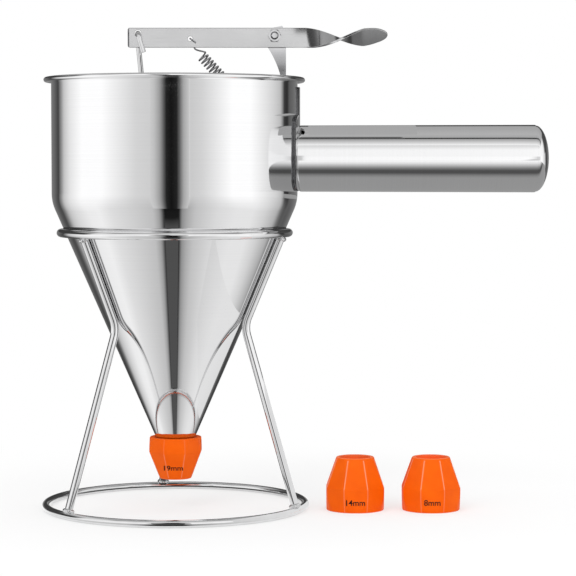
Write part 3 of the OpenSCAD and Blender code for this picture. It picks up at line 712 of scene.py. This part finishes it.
def nutRows(across, height, hole, edge=0.35):
    # rows of a nut: a hexagon, both faces chamfered, with a plain hole
    def row(z, fromFace):
        limit = across / 2 * 0.97 + fromFace * 1.75
        return (lambda angle: min(across / 2 / math.cos(fromFlat(angle, 6)), limit)), z

    rows = [row(z, z) for z in [height * 0.16 * i / 8 for i in range(9)]]
    rows += [row(z, height - z) for z in [height * (0.84 + 0.16 * i / 8) for i in range(9)]]
    return rows + [(hole + edge, height), (hole, height - edge), (hole, edge), (hole + edge, 0)]


def washerRows(bore, radius, thick, soft, z=0.0):
    return [(bore, z), (radius - soft, z), (radius, z + soft), (radius, z + thick - soft),
            (radius - soft, z + thick), (bore, z + thick)]


def buildPivot(lever, sizes):
    x, z = lever["holes"]["pivot"][:2]
    r, pitch, gap, nutBack = sizes["boltRadius"], sizes["pitch"], sizes["gap"], sizes["nutBack"]
    headR, headHigh, headRim = sizes["headRadius"], sizes["headHeight"], sizes["headRim"]
    root, crest, soft = r - sizes["threadDeep"], r - sizes["threadFlat"], sizes["headEdge"]
    tip = nutBack - sizes["nutHeight"] - sizes["boltEnd"]
    head = sizes["earBack"] + gap
    profile = [(0, tip), (r - 0.5, tip), (r - 0.42, tip + 0.1)]
    depth = tip + 0.3
    while depth < nutBack - 0.2:  # the thread
        profile += [(root, depth), (crest, depth + pitch * 0.4), (crest, depth + pitch * 0.55)]
        depth += pitch
    profile += [(r, nutBack), (r, head), (headR - soft, head), (headR, head + soft),
                (headR, head + headHigh * headRim)]
    for a in range(10, 81, 10):
        across, up = bow(a)
        profile.append((headR * across, head + headHigh * (headRim + (1 - headRim) * up)))
    profile.append((0, head + headHigh))
    form = moved(turned([(radius, -depth) for radius, depth in profile], 64), alongDepth(x, 0, z))
    bolt = meshPiece("pivotBolt", form, "fastener", None, ["pivot_bolt"], crease=30)
    long, half = headR + 1.2, sizes["slotWidth"] / 2
    slot = skinned([[(x + sx * long, y, z + sz * half) for sx, sz in ((-1, -1), (1, -1), (1, 1), (-1, 1))]
                    for y in (head + headHigh * sizes["slotFloor"], head + headHigh + 2)])
    carve(bolt, "slotCutter", slot, 30)
    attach(bolt, "funnel")

    nut = turned(nutRows(sizes["nutAcross"], sizes["nutHeight"], r + gap), 180)
    place = alongDepth(x, nutBack, z) @ Matrix.Rotation(math.radians(30), 4, "Z")
    meshPiece("pivotNut", moved(nut, place), "fastener", "funnel", ["pivot_nut"], crease=24)
    washer = turned(washerRows(r + gap, sizes["washerRadius"], sizes["washerThick"], sizes["washerEdge"]), 72)
    place = alongDepth(x, sizes["washerFront"] + sizes["washerThick"], z)
    meshPiece("pivotWasher", moved(washer, place), "fastener", "funnel", ["pivot_washer"])


bracketSizes = {"edge": 0.2, "lug": (65.65, 217.788)}


def buildBracket(sizes):
    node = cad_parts["lever_bracket"]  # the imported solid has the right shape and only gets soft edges
    node.data.materials.clear()
    node.data.materials.append(finishes["bracket"])
    softenEdges(node, sizes["edge"], 2)


buildLever(leverSizes)
buildPivot(leverSizes, pivotSizes)
buildBracket(bracketSizes)
print("lever built: strip, bolt, nut, washer and bracket")


plungerSizes = {
    "rod": 3.0, "hookRadius": 3.0, "hookLean": 6.0, "hookTurn": 14.0, "hookLegLean": 17.0, "hookLeg": 7.7,
    "foot": 36.94, "kneeUp": 10.0, "kneeBend": 3.0,  # the knee's height is from the stopper's top
    "threadLength": 5.0, "threadPitch": 0.5, "threadDeep": 0.12, "threadUnder": 0.14, "tipEase": 0.4,
    "stopperLow": 41.54, "stopperHigh": 51.54, "coneGap": 0.33, "bore": 1.55, "gap": 0.05,
    "stopperFoot": [(1.2, 0.0), (0.4, 0.3), (0.0, 1.0)],  # its lower edge: how far in, how far up
    "washerSeat": 3.8, "washerThick": 1.0, "washerRadius": 5.1, "washerEdge": 0.15,
    "nutAcross": 5.5, "nutHeight": 2.6,
}


def coneInner(z, hopper):
    cone = math.radians(coneAngle)
    return hopper["neckRadius"] + (z - hopper["neckTop"]) * math.tan(cone) - hopper["sheet"] / math.cos(cone)


def buildPlunger(sizes, lever, hopper):
    lean, legLean, turn = (math.radians(sizes[key]) for key in ("hookLean", "hookLegLean", "hookTurn"))
    down = Vector((math.sin(lean), 0, -math.cos(lean)))
    legDown = Vector((math.sin(legLean), 0, -math.cos(legLean)))
    side = Vector((-math.sin(turn), math.cos(turn), 0))  # towards the back
    hookR, radius, deep = sizes["hookRadius"], sizes["rod"] / 2, sizes["threadDeep"]
    low, high, bore = sizes["stopperLow"], sizes["stopperHigh"], sizes["bore"]
    middle = holeMiddle(lever, "rod") + hookR * down
    loop = [middle + hookR * (math.sin(math.radians(a)) * side - math.cos(math.radians(a)) * down)
            for a in range(90, -91, -6)]
    plane = loop[0].y
    knee, bend = Vector((0, plane, high + sizes["kneeUp"])), sizes["kneeBend"]
    top = loop[0] + 3 * down
    slope = (top - knee).normalized()
    foot = Vector((0, plane, sizes["foot"]))
    upright = knee - Vector((0, 0, bend))
    bendStart, legStart = top - 2 * slope, loop[-1] + down
    path = [foot + Vector((0, 0, 0.1 * i)) for i in range(0, 50)]
    path += strideOf(foot + Vector((0, 0, sizes["threadLength"])), upright, 4) + [upright]
    path += curve(upright, knee, knee, knee + bend * slope, 10)
    path += strideOf(path[-1], bendStart, 12)[1:] + [bendStart]
    path += curve(bendStart, top, top, top - 2 * down, 8) + loop[1:]
    path += curve(loop[-1], legStart, legStart, legStart + legDown, 6)
    path += [legStart + legDown * (1 + (sizes["hookLeg"] - 1) * i / 5) for i in range(1, 6)]

    def rodRadius(along, angle):
        if along >= sizes["threadLength"]:
            return radius
        turnShare = (along / sizes["threadPitch"] + angle / (2 * math.pi)) % 1
        root = radius - sizes["threadUnder"] - max(0, sizes["tipEase"] - along) * 0.6
        return root + deep * abs(2 * turnShare - 1)

    wire = wireAlong(path, rodRadius, 32)
    rod = meshPiece("plungerRod", wire, "rod", "plunger", ["plunger_rod"], crease=50)
    darkenCutsAndPaintShade(rod, lambda face: (face.center / mm - path[-1]).length < radius * 0.8)  # the hook's sawn end

    def outer(z):
        return coneInner(z, hopper) - sizes["coneGap"]

    plug = [(bore, low)] + [(outer(low + up) - inward, low + up) for inward, up in sizes["stopperFoot"]]
    plug += [(outer(z), z) for z in [low + 1 + (high - 3 - low) * i / 10 for i in range(1, 11)]]
    plug += [(outer(high - 1.2) - 0.3, high - 1.2), (outer(high - 0.6) - 0.9, high - 0.5),
             (outer(high) - 2, high), (bore + sizes["washerSeat"], high), (bore, high)]
    washer = washerRows(bore, sizes["washerRadius"], sizes["washerThick"], sizes["washerEdge"],
                        high + sizes["gap"])
    nut = turned(nutRows(sizes["nutAcross"], sizes["nutHeight"], bore), 180)
    place = Matrix.Translation((0, plane, 0))
    nutPlace = Matrix.Translation((0, plane, low - sizes["gap"] - sizes["nutHeight"]))
    meshPiece("stopperPlug", moved(turned(plug, 128), place), "rubber", "plunger", ["stopper"], crease=60)
    meshPiece("stopperWasher", moved(turned(washer, 72), place), "fastener", "plunger", ["stopper_washer"])
    meshPiece("stopperNut", moved(nut, nutPlace), "fastener", "plunger", ["stopper_nut"], crease=24)
    print("plunger built: rod, plug, washer and nut")


buildPlunger(plungerSizes, leverSizes, hopperSizes)


springSizes = {
    "wire": 1.0, "coilRadius": 3.0, "curls": 26, "pitch": 2.27, "loop": 1.9, "loopEnd": 2.4,
    "coilStart": (6.7, -10.0), "under": (3.4, -6.4),  # from the lever's hole
    "underDepth": -0.6, "sag": (2.0, 0.0, -0.9), "hookLie": (-0.81, 0.0, 0.58),
    "stationsPerCurl": 24, "sides": 12,
}


def buildSpring(sizes, lever, bracket):
    hole = holeMiddle(lever, "spring")
    lug = Vector((bracket["lug"][0], 0, bracket["lug"][1]))
    start = Vector((hole.x + sizes["coilStart"][0], 0, hole.z + sizes["coilStart"][1]))
    along = (lug - start).normalized()
    up, flow = Vector((-along.z, 0, along.x)), Vector((0, 1, 0))
    coil, pitch, loop, curls = sizes["coilRadius"], sizes["pitch"], sizes["loop"], sizes["curls"]

    def coilPoint(turn):
        a = 2 * math.pi * turn
        return start + pitch * turn * along + coil * (math.cos(a) * up + math.sin(a) * flow)

    def halfLoop(point, out, first, last, steps=14):
        bows = [bow(first + (last - first) * i / steps) for i in range(steps + 1)]
        return [point - loop * out + loop * (outward * out + across * flow) for outward, across in bows]

    hookOut = Vector(sizes["hookLie"]).normalized()
    upper, lower = halfLoop(hole, hookOut, -90, 90), halfLoop(lug, along, 90, -90)
    under = Vector((hole.x + sizes["under"][0], sizes["underDepth"], hole.z + sizes["under"][1]))
    sag = Vector(sizes["sag"])
    coilIn, coilOut = coilPoint(0), coilPoint(curls)
    path = [upper[0] - sizes["loopEnd"] * hookOut, upper[0] - sizes["loopEnd"] / 2 * hookOut] + upper
    path += curve(upper[-1], upper[-1] - 1.6 * hookOut, under - sag, under, 10)
    path += curve(under, under + sag, coilIn - 1.8 * flow + 0.4 * up, coilIn, 10)
    steps = sizes["stationsPerCurl"]
    path += [coilPoint(i / steps) for i in range(1, steps * curls)] + [coilOut]
    path += curve(coilOut, coilOut + 1.8 * flow, lower[0] - 6 * along, lower[0], 12)
    path += lower[1:] + [lower[-1] - sizes["loopEnd"] / 2 * along, lower[-1] - sizes["loopEnd"] * along]
    spring = meshPiece("returnSpring", wireAlong(path, sizes["wire"] / 2, sizes["sides"]), "spring", None,
                       ["return_spring"], crease=50)
    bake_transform(spring)
    print("spring built:", curls, "curls")


buildSpring(springSizes, leverSizes, bracketSizes)


nozzleSizes = {
    "neckRadius": 11.0, "socketGap": 0.08, "socketDepth": 11.4, "socketStep": 1.5,
    "collarOver": 1.9, "leadIn": 12.728,
    "mouthDepth": 4.0, "rimEdge": 0.25, "mouthEdge": 0.3, "boreEdge": 0.2,
    "edgeSoft": 0.35, "tipEase": 1.6, "sides": 240,
    # the painted highlight along the edges and round the rim: how strong and how wide
    "edgeSheenSizes": {"taper": 0.85, "collar": 0.35, "rim": 0.25, "width": 0.45},  # how pale and wide its edges are
    "fitted": {"radius": 15.55, "tip": 9.4, "height": 25.0, "collar": 8.5, "bore": 16.0, "straight": 4.0,
               "mouth": 0.0, "place": (0.0, 0.0, 42.94), "turnedOver": True, "sheenStrength": 0.5},
    "medium": {"radius": 17.25, "tip": 11.2, "height": 31.7, "collar": 13.6, "bore": 14.0, "straight": 11.0,
               "mouth": 9.3, "place": (108.1, -7.1, 0.0), "turnedOver": False, "sheenStrength": 1.0},
    "small": {"radius": 17.25, "tip": 11.2, "height": 31.7, "collar": 13.6, "bore": 8.0, "straight": 11.0,
              "mouth": 9.3, "place": (153.6, -7.1, 0.0), "turnedOver": False, "sheenStrength": 1.0},
}


def eightSided(apothem, limit, soft):
    # the radius of an octagon with flats to the front, eased where it meets a round limit
    def at(angle):
        flat = apothem / math.cos(fromFlat(angle, 8))
        gap = flat - limit
        if gap <= -soft:
            return flat
        if gap >= soft:
            return limit
        return flat - (gap + soft) ** 2 / (4 * soft)
    return at


def buildNozzle(name, node, body, common, own, mark):
    r, tip, height, collar = own["radius"], own["tip"], own["height"], own["collar"]
    ease, edgeSheenSizes = common["tipEase"], common["edgeSheenSizes"]
    eighth = math.radians(22.5)
    corner = 1 / math.cos(eighth)

    def flatAt(z):
        return r + (tip - r) * max(0, z - collar) / (height - collar)

    def limitAt(z):
        # how far out the form may reach: round at its base and at its mouth, else just inside its corners
        wide, narrow = r * corner + 0.1, tip * corner + 0.25
        if z < collar:
            return min(r + 0.15 + (r * corner - r) * z / (collar * 0.8), wide)
        share = (z - collar) / (height - ease - collar)
        if share < 1:
            return wide + (narrow - wide) * share
        return narrow + (tip + 0.1 - narrow) * (z - height + ease) / ease

    def row(z, flatLess, limitLess, drop=0.0):
        return eightSided(flatAt(z) - flatLess, limitAt(z) - limitLess, common["edgeSoft"]), z - drop

    heights = [0.35 + (collar - 0.35) * i / 14 for i in range(15)]
    heights += [collar + (height - ease - collar) * i / 16 for i in range(1, 17)]
    heights += [height - ease + 1.25 * i / 6 for i in range(1, 7)]
    rows = [row(0.0, 0.3, 0.3)] + [row(z, 0.0, 0.12) for z in heights]
    rows += [row(height, 0.12, 0.14, 0.12), row(height, 0.35, 0.4)]
    bore, straight, mouth = own["bore"] / 2, height - own["straight"], own["mouth"]
    socket, step = common["neckRadius"] + common["socketGap"], common["neckRadius"] - common["socketStep"]
    rim, inner, soft = common["rimEdge"], common["mouthEdge"], common["boreEdge"]
    if mouth:
        stop = height - common["mouthDepth"]
        rows += [(mouth + rim, height), (mouth, height - rim), (mouth, stop + inner), (mouth - inner, stop),
                 (bore + soft, stop), (bore, stop - soft)]
    else:
        rows += [(bore + rim, height), (bore, height - rim)]
    rows += [(bore, straight), (step, common["socketDepth"]), (socket, common["socketDepth"]),
             (socket, common["collarOver"]), (common["leadIn"], 0.0)]
    form = turned(rows, common["sides"])
    # a painted highlight: paler colour along the octagon's corners and round the rim, stronger on the loose
    # nozzles
    pale = []
    for x, y, z in form[0]:
        far = math.hypot(x, y)
        outside = far > flatAt(z) - 0.2 and 0.3 < z < height - 1
        edge = max(0.0, 1 - (eighth - abs(fromFlat(math.atan2(y, x), 8))) * far / edgeSheenSizes["width"])
        strength = edgeSheenSizes["taper" if z > collar + 0.3 else "collar"] * own["sheenStrength"]
        atRim = z > height - 0.3 and far > tip - 2.5
        pale.append(max(edge * strength if outside else 0, edgeSheenSizes["rim"] if atRim else 0))
    place = Matrix.Translation(own["place"])
    if own["turnedOver"]:
        place = place @ Matrix.Rotation(math.pi, 4, "X")
    nozzle = meshPiece(name, moved(form, place), "orange", body, [node], crease=30, merge=False)
    mask = nozzle.data.attributes.new("paintedEdgeSheen", "FLOAT", "POINT")
    mask.data.foreach_set("value", pale)
    addMark(name + "Mark", mark, body)


markSizes = {"thick": 0.06, "proud": 0.05, "bold": 0.012}


def addMark(name, mark, body):
    # a printed size, laid on its flat
    text = bpy.data.curves.new(name, "FONT")
    text.body, text.size, text.resolution_u = mark["words"], 1.0, 6
    text.align_x, text.align_y = "CENTER", "CENTER"
    text.extrude, text.offset = markSizes["thick"] / 2, markSizes["bold"]
    sample = putInScene(name + "Text", text)
    bpy.context.view_layer.update()
    mesh = bpy.data.meshes.new_from_object(sample.evaluated_get(bpy.context.evaluated_depsgraph_get()))
    bpy.data.objects.remove(sample)
    xs, ys = ([v.co[axis] for v in mesh.vertices] for axis in (0, 1))
    sx, sy = mark["width"] / (max(xs) - min(xs)), mark["height"] / (max(ys) - min(ys))
    midX, midY = (max(xs) + min(xs)) / 2, (max(ys) + min(ys)) / 2
    across, rise = bow(mark["lean"])
    right, up, out = Vector((1, 0, 0)), Vector((0, -rise, across)), Vector((0, -across, -rise))
    points = [Vector(mark["place"]) + right * ((v.co.x - midX) * sx) + up * ((v.co.y - midY) * sy)
              + out * (markSizes["proud"] + v.co.z) for v in mesh.vertices]
    faces = [tuple(f.vertices) for f in mesh.polygons]
    bpy.data.meshes.remove(mesh)
    meshPiece(name, (points, faces), "print", body, crease=30)


def taperPlane(own, height):
    # the depth of the fitted nozzle's front flat at a height, and its lean from upright
    slope = (own["radius"] - own["tip"]) / (own["height"] - own["collar"])
    down = own["place"][2] - height - own["collar"]
    return -(own["radius"] - slope * down), math.degrees(math.atan(slope))


markHeight = 25.4  # of the middle of the fitted nozzle's mark
fittedDepth, fittedLean = taperPlane(nozzleSizes["fitted"], markHeight)
marks = {
    "fitted": {"words": "19mm", "width": 11.4, "height": 3.3, "place": (-0.7, fittedDepth, markHeight),
               "lean": fittedLean},
    "medium": {"words": "14mm", "width": 11.3, "height": 3.5, "place": (107.9, -24.35, 6.3), "lean": 0.0},
    "small": {"words": "8mm", "width": 9.8, "height": 3.5, "place": (153.4, -24.35, 6.3), "lean": 0.0},
}
for kind, solid, rider in (("fitted", "nozzle_large", "fitted_nozzle"),
                           ("medium", "nozzle_medium", "spare_medium"),
                           ("small", "nozzle_small", "spare_small")):
    buildNozzle("nozzle" + kind.capitalize(), solid, rider, nozzleSizes, nozzleSizes[kind], marks[kind])
print("nozzles built: 3, with their marks")


studio = {
    "floorSize": 12.0, "floorShare": 0.55, "floorFade": (0.16, 0.34), "floorMiddle": (0.045, -0.01, 0.0),
    "floorTone": 0.9, "skyForMatt": 0.72,
    "lamps": {
        "keyLamp": {"place": (-0.7, -1.2, 1.3), "size": 1.2, "power": 9.0},
        "fillLamp": {"place": (1.0, -1.3, 0.9), "size": 1.2, "power": 6.0},
        "topLamp": {"place": (0.1, 0.2, 1.6), "size": 1.4, "power": 7.0},
    },
    "lampAim": (0.05, 0, 0.12),
    # what polished steel sees level with itself, by the turn in degrees from the camera (left is minus)
    "levelBand": [(-180, 0.28), (-148, 0.15), (-135, 0.06), (-127, 0.36), (-122, 0.65), (-111, 0.93),
                  (-93, 1.2), (-68, 1.2), (-45, 0.93), (-33, 0.79), (-20, 0.74), (-8, 1.1), (12, 1.2),
                  (17, 0.7), (28, 0.78), (39, 0.93), (57, 1.2), (77, 1.2), (91, 1.0), (108, 0.77), (119, 0.6),
                  (126, 0.05), (133, 0.03), (138, 0.12), (180, 0.28)],
    "bandLow": (-0.085, -0.06), "bandHigh": (0.095, 0.13),
    # what it sees above that, in stripes
    "roundAbout": [(-180, 0.05), (-98, 0.06), (-86, 1.0), (-24, 1.1), (-16, 0.3), (-4, 0.3), (-0.3, 1.1),
                   (24, 1.15), (88, 1.1), (104, 0.9), (118, 0.08), (180, 0.05)],
    "overhead": 0.8, "overheadFade": (0.45, 0.75),
    # and below, on the floor, by the turn round the stand's axis
    "floorRound": [(-180, 0.06), (-140, 0.06), (-130, 0.16), (-118, 0.6), (-107, 0.78), (-89, 1.0),
                   (-75, 1.04), (-60, 0.88), (-42, 0.77), (-18, 0.62), (-12, 0.4), (-8, 0.03), (7, 0.02),
                   (10, 0.33), (15, 0.49), (22, 0.64), (44, 0.84), (64, 0.93), (84, 0.93), (100, 0.77),
                   (119, 0.49), (130, 0.2), (144, 0.06), (180, 0.06)],
    "floorRoundReach": 12.0, "floorRoundHeight": 0.0015,
    "floorRoundNear": 0.2, "floorRoundBlend": (0.07, 0.6),
}


def roundRamps(bench, place, *bands):
    turn = bench.maths("ARCTAN2", place["X"], bench.maths("MULTIPLY", place["Y"], -1.0))
    share = bench.maths("MULTIPLY_ADD", turn, 0.5 / math.pi, 0.5)
    return [bench.ramp(share, [(0.5 + a / 360, tone) for a, tone in band]) for band in bands]


def buildSky(values):
    world = bpy.data.worlds.new("studioSky")
    bpy.context.scene.world = world
    bench = clearedBench(world)
    way = bench.apart(bench.where("Generated"))
    level, around = roundRamps(bench, way, values["levelBand"], values["roundAbout"])
    rise = bench.spread(way["Z"], *values["bandLow"])
    fall = bench.spread(way["Z"], *values["bandHigh"], 1.0, 0.0)
    around = bench.mixed(bench.maths("MULTIPLY", rise, fall), around, level)
    high = bench.spread(way["Z"], *values["overheadFade"], smooth=True)
    mirrored = bench.mixed(high, around, grey(values["overhead"], 0))
    ray = bench.add("ShaderNodeLightPath").outputs
    seen = bench.mixed(ray["Is Glossy Ray"], grey(values["skyForMatt"], 0), mirrored)
    seen = bench.mixed(ray["Is Camera Ray"], seen, (1, 1, 1, 1))
    sky = bench.add("ShaderNodeBackground", {"Color": seen, "Strength": 1.0})
    bench.add("ShaderNodeOutputWorld", {"Surface": sky.outputs["Background"]})


def layFlat(name, points, look, mirrorOnly=True):
    # one face of the studio, which is no piece of the object. Most are seen only by polished surfaces
    mesh = bpy.data.meshes.new(name)
    mesh.from_pydata(points, [], [tuple(range(len(points)))])
    mesh.materials.append(look)
    item = putInScene(name, mesh)
    if mirrorOnly:
        item.visible_camera = item.visible_diffuse = item.visible_shadow = item.visible_transmission = False


def buildFloor(values):
    half = values["floorSize"] / 2
    look = bpy.data.materials.new("paleFloor")
    bench = clearedBench(look)
    ray = bench.add("ShaderNodeLightPath").outputs
    shown = bench.maths("MAXIMUM", ray["Is Camera Ray"], ray["Is Glossy Ray"])
    shown = bench.maths("MAXIMUM", shown, ray["Is Transmission Ray"])
    ends = {0: bench.where(), 1: values["floorMiddle"]}
    away = bench.add("ShaderNodeVectorMath", ends, operation="DISTANCE").outputs["Value"]
    bare = bench.spread(away, *values["floorFade"], values["floorShare"], 1.0, smooth=True)
    matt = bench.add("ShaderNodeBsdfDiffuse", {"Color": grey(values["floorTone"], 0)})
    glow = bench.add("ShaderNodeEmission", {"Color": (1, 1, 1, 1), "Strength": 1.0})
    share = bench.maths("MULTIPLY", shown, bare)
    mixed = bench.add("ShaderNodeMixShader", {0: share, 1: matt.outputs[0], 2: glow.outputs[0]})
    bench.add("ShaderNodeOutputMaterial", {"Surface": mixed.outputs[0]})
    layFlat("studioFloor", [(-half, -half, 0), (half, -half, 0), (half, half, 0), (-half, half, 0)], look,
            mirrorOnly=False)


def layFloorRound(values):
    reach, height = values["floorRoundReach"], values["floorRoundHeight"]
    look = bpy.data.materials.new("floorRound")
    bench = clearedBench(look)
    spot = bench.where()
    near, far = roundRamps(bench, bench.apart(spot), values["floorRound"], values["levelBand"])
    away = bench.add("ShaderNodeVectorMath", {0: spot}, operation="LENGTH").outputs["Value"]
    nearness = bench.spread(bench.maths("DIVIDE", values["floorRoundNear"], away), *values["floorRoundBlend"])
    glow = bench.add("ShaderNodeEmission", {"Color": bench.mixed(nearness, far, near), "Strength": 1.0})
    bench.add("ShaderNodeOutputMaterial", {"Surface": glow.outputs[0]})
    layFlat("floorRound", [(reach * math.sin(a), reach * math.cos(a), height) for a in roundTurn(72)], look)


def hangLamps(values):
    for name, lamp in values["lamps"].items():
        data = bpy.data.lights.new(name, "AREA")
        data.shape, data.size, data.energy = "SQUARE", lamp["size"], lamp["power"]
        item = putInScene(name, data)
        item.location = lamp["place"]
        aim = Vector(values["lampAim"]) - Vector(lamp["place"])
        item.rotation_mode = "QUATERNION"
        item.rotation_quaternion = aim.to_track_quat("-Z", "Y")
        item.visible_glossy = False


# Cards that only polished surfaces see, in mm. Each is shaded along one axis by (place, brightness) stops.
# A card with "shown" glows only on one face: "front" is its upper or right one, "back" its lower or left one.
cards = {
    "cameraFlag": {"x": (-92, 77), "y": -300, "z": (2, 262), "axis": "X",
                   "stops": [(-92, 0.72), (-73, 0.63), (-49, 0.4), (-31, 0.12), (-21, 0.02), (0, 0.008),
                             (24, 0.02), (36, 0.14), (53, 0.46), (77, 0.68)]},
    "floorFlag": {"corners": [(-3, -24), (-38, -298), (34, -298), (3, -24)], "z": 3, "axis": "Y",
                  "stops": [(-298, 0.008), (-224, 0.012), (-214, 0.09), (-24, 0.095)]},
    "underHandle": {"x": (73.7, 360), "y": (-215, 60), "z": 186, "axis": "Y", "shown": "front",
                    "stops": [(-215, 1.08), (-150, 1.12), (-92, 0.9), (-65, 0.58), (-46, 0.22), (-38, 0.09),
                              (-31, 0.09), (-25, 0.26), (-21, 0.34), (60, 0.37)]},
    # hides the card above from the foot of the hopper's wall, with what the wall sees round it
    "wallFoot": {"side": 73.6, "y": (-224, -28), "z": (186, 190.8), "axis": "Y", "shown": "back",
                 "stops": [(-224, 0.73), (-197, 0.75), (-164, 0.81), (-125, 0.94), (-100, 1.1), (-88, 1.2),
                           (-62, 1.2), (-49, 1.0), (-36, 0.77), (-31, 0.62), (-28, 0.4)]},
    "overhead": {"x": (-600, 900), "y": (-520, 1100), "z": 750, "axis": "Y",
                 "stops": [(-520, 1.1), (-350, 0.72), (-205, 0.4), (-190, 0.03), (-155, 0.03), (-138, 0.45),
                           (0, 0.52), (300, 0.45), (720, 0.42), (900, 0.08), (1100, 0.05)]},
    "earArc": {"x": (50, 70), "y": -300, "z": (263, 289), "axis": "Z",
               "stops": [(263, 0.8), (270, 0.72), (273.5, 0.16), (277, 0.16), (279.5, 0.6), (289, 0.85)]},
    "tabShade": {"x": (72, 140), "y": -36, "z": (287, 350), "axis": "Z",
                 "stops": [(287, 0.3), (292, 0.06), (312, 0.1), (350, 0.3)]},
    "underTab": {"x": (76, 135), "y": (-40, 30), "z": 236, "axis": "Y", "shown": "front",
                 "stops": [(-40, 0.5), (-15, 0.22), (30, 0.2)]},
    "tabBlind": {"x": (80, 145), "y": (-14, 34), "z": 237, "axis": "Y", "shown": "back",
                 "stops": [(-14, 0.47), (8, 0.44), (34, 0.1)]},
    "rodShade": {"side": -4, "y": (-58, -12), "z": (259, 275), "axis": "Z",
                 "stops": [(259, 0.04), (275, 0.04)]},
    "nozzleBlind": {"side": 90, "y": (-112, 64), "z": (2, 88), "axis": "Y",
                    "stops": [(-112, 0.76), (-43, 0.9), (0, 0.9), (64, 0.84)]},
}


def cardPoints(card):
    z = card["z"]
    if "corners" in card:
        return [(x, y, z) for x, y in card["corners"]]
    if "side" in card:
        x, (y0, y1) = card["side"], card["y"]
        return [(x, y0, z[0]), (x, y1, z[0]), (x, y1, z[1]), (x, y0, z[1])]
    (x0, x1), y = card["x"], card["y"]
    if isinstance(y, tuple):
        return [(x0, y[0], z), (x1, y[0], z), (x1, y[1], z), (x0, y[1], z)]
    return [(x0, y, z[0]), (x1, y, z[0]), (x1, y, z[1]), (x0, y, z[1])]


def hangCard(name, card):
    look = bpy.data.materials.new(name)
    bench = clearedBench(look)
    place = bench.apart(bench.where())
    first, last = card["stops"][0][0], card["stops"][-1][0]
    along = bench.spread(place[card["axis"]], first * mm, last * mm)
    shade = bench.ramp(along, [((at - first) / (last - first), tone) for at, tone in card["stops"]])
    glow = bench.add("ShaderNodeEmission", {"Color": shade, "Strength": 1.0}).outputs[0]
    if "shown" in card:
        clear = bench.add("ShaderNodeBsdfTransparent").outputs[0]
        behind = bench.add("ShaderNodeNewGeometry").outputs["Backfacing"]
        faces = {1: glow, 2: clear} if card["shown"] == "front" else {1: clear, 2: glow}
        glow = bench.add("ShaderNodeMixShader", {0: behind, **faces}).outputs[0]
    bench.add("ShaderNodeOutputMaterial", {"Surface": glow})
    layFlat(name, [Vector(p) * mm for p in cardPoints(card)], look)


buildSky(studio)
buildFloor(studio)
layFloorRound(studio)
hangLamps(studio)
for cardName, cardValues in cards.items():
    hangCard(cardName, cardValues)
bpy.context.scene.view_settings.view_transform = "Standard"
print("studio ready")
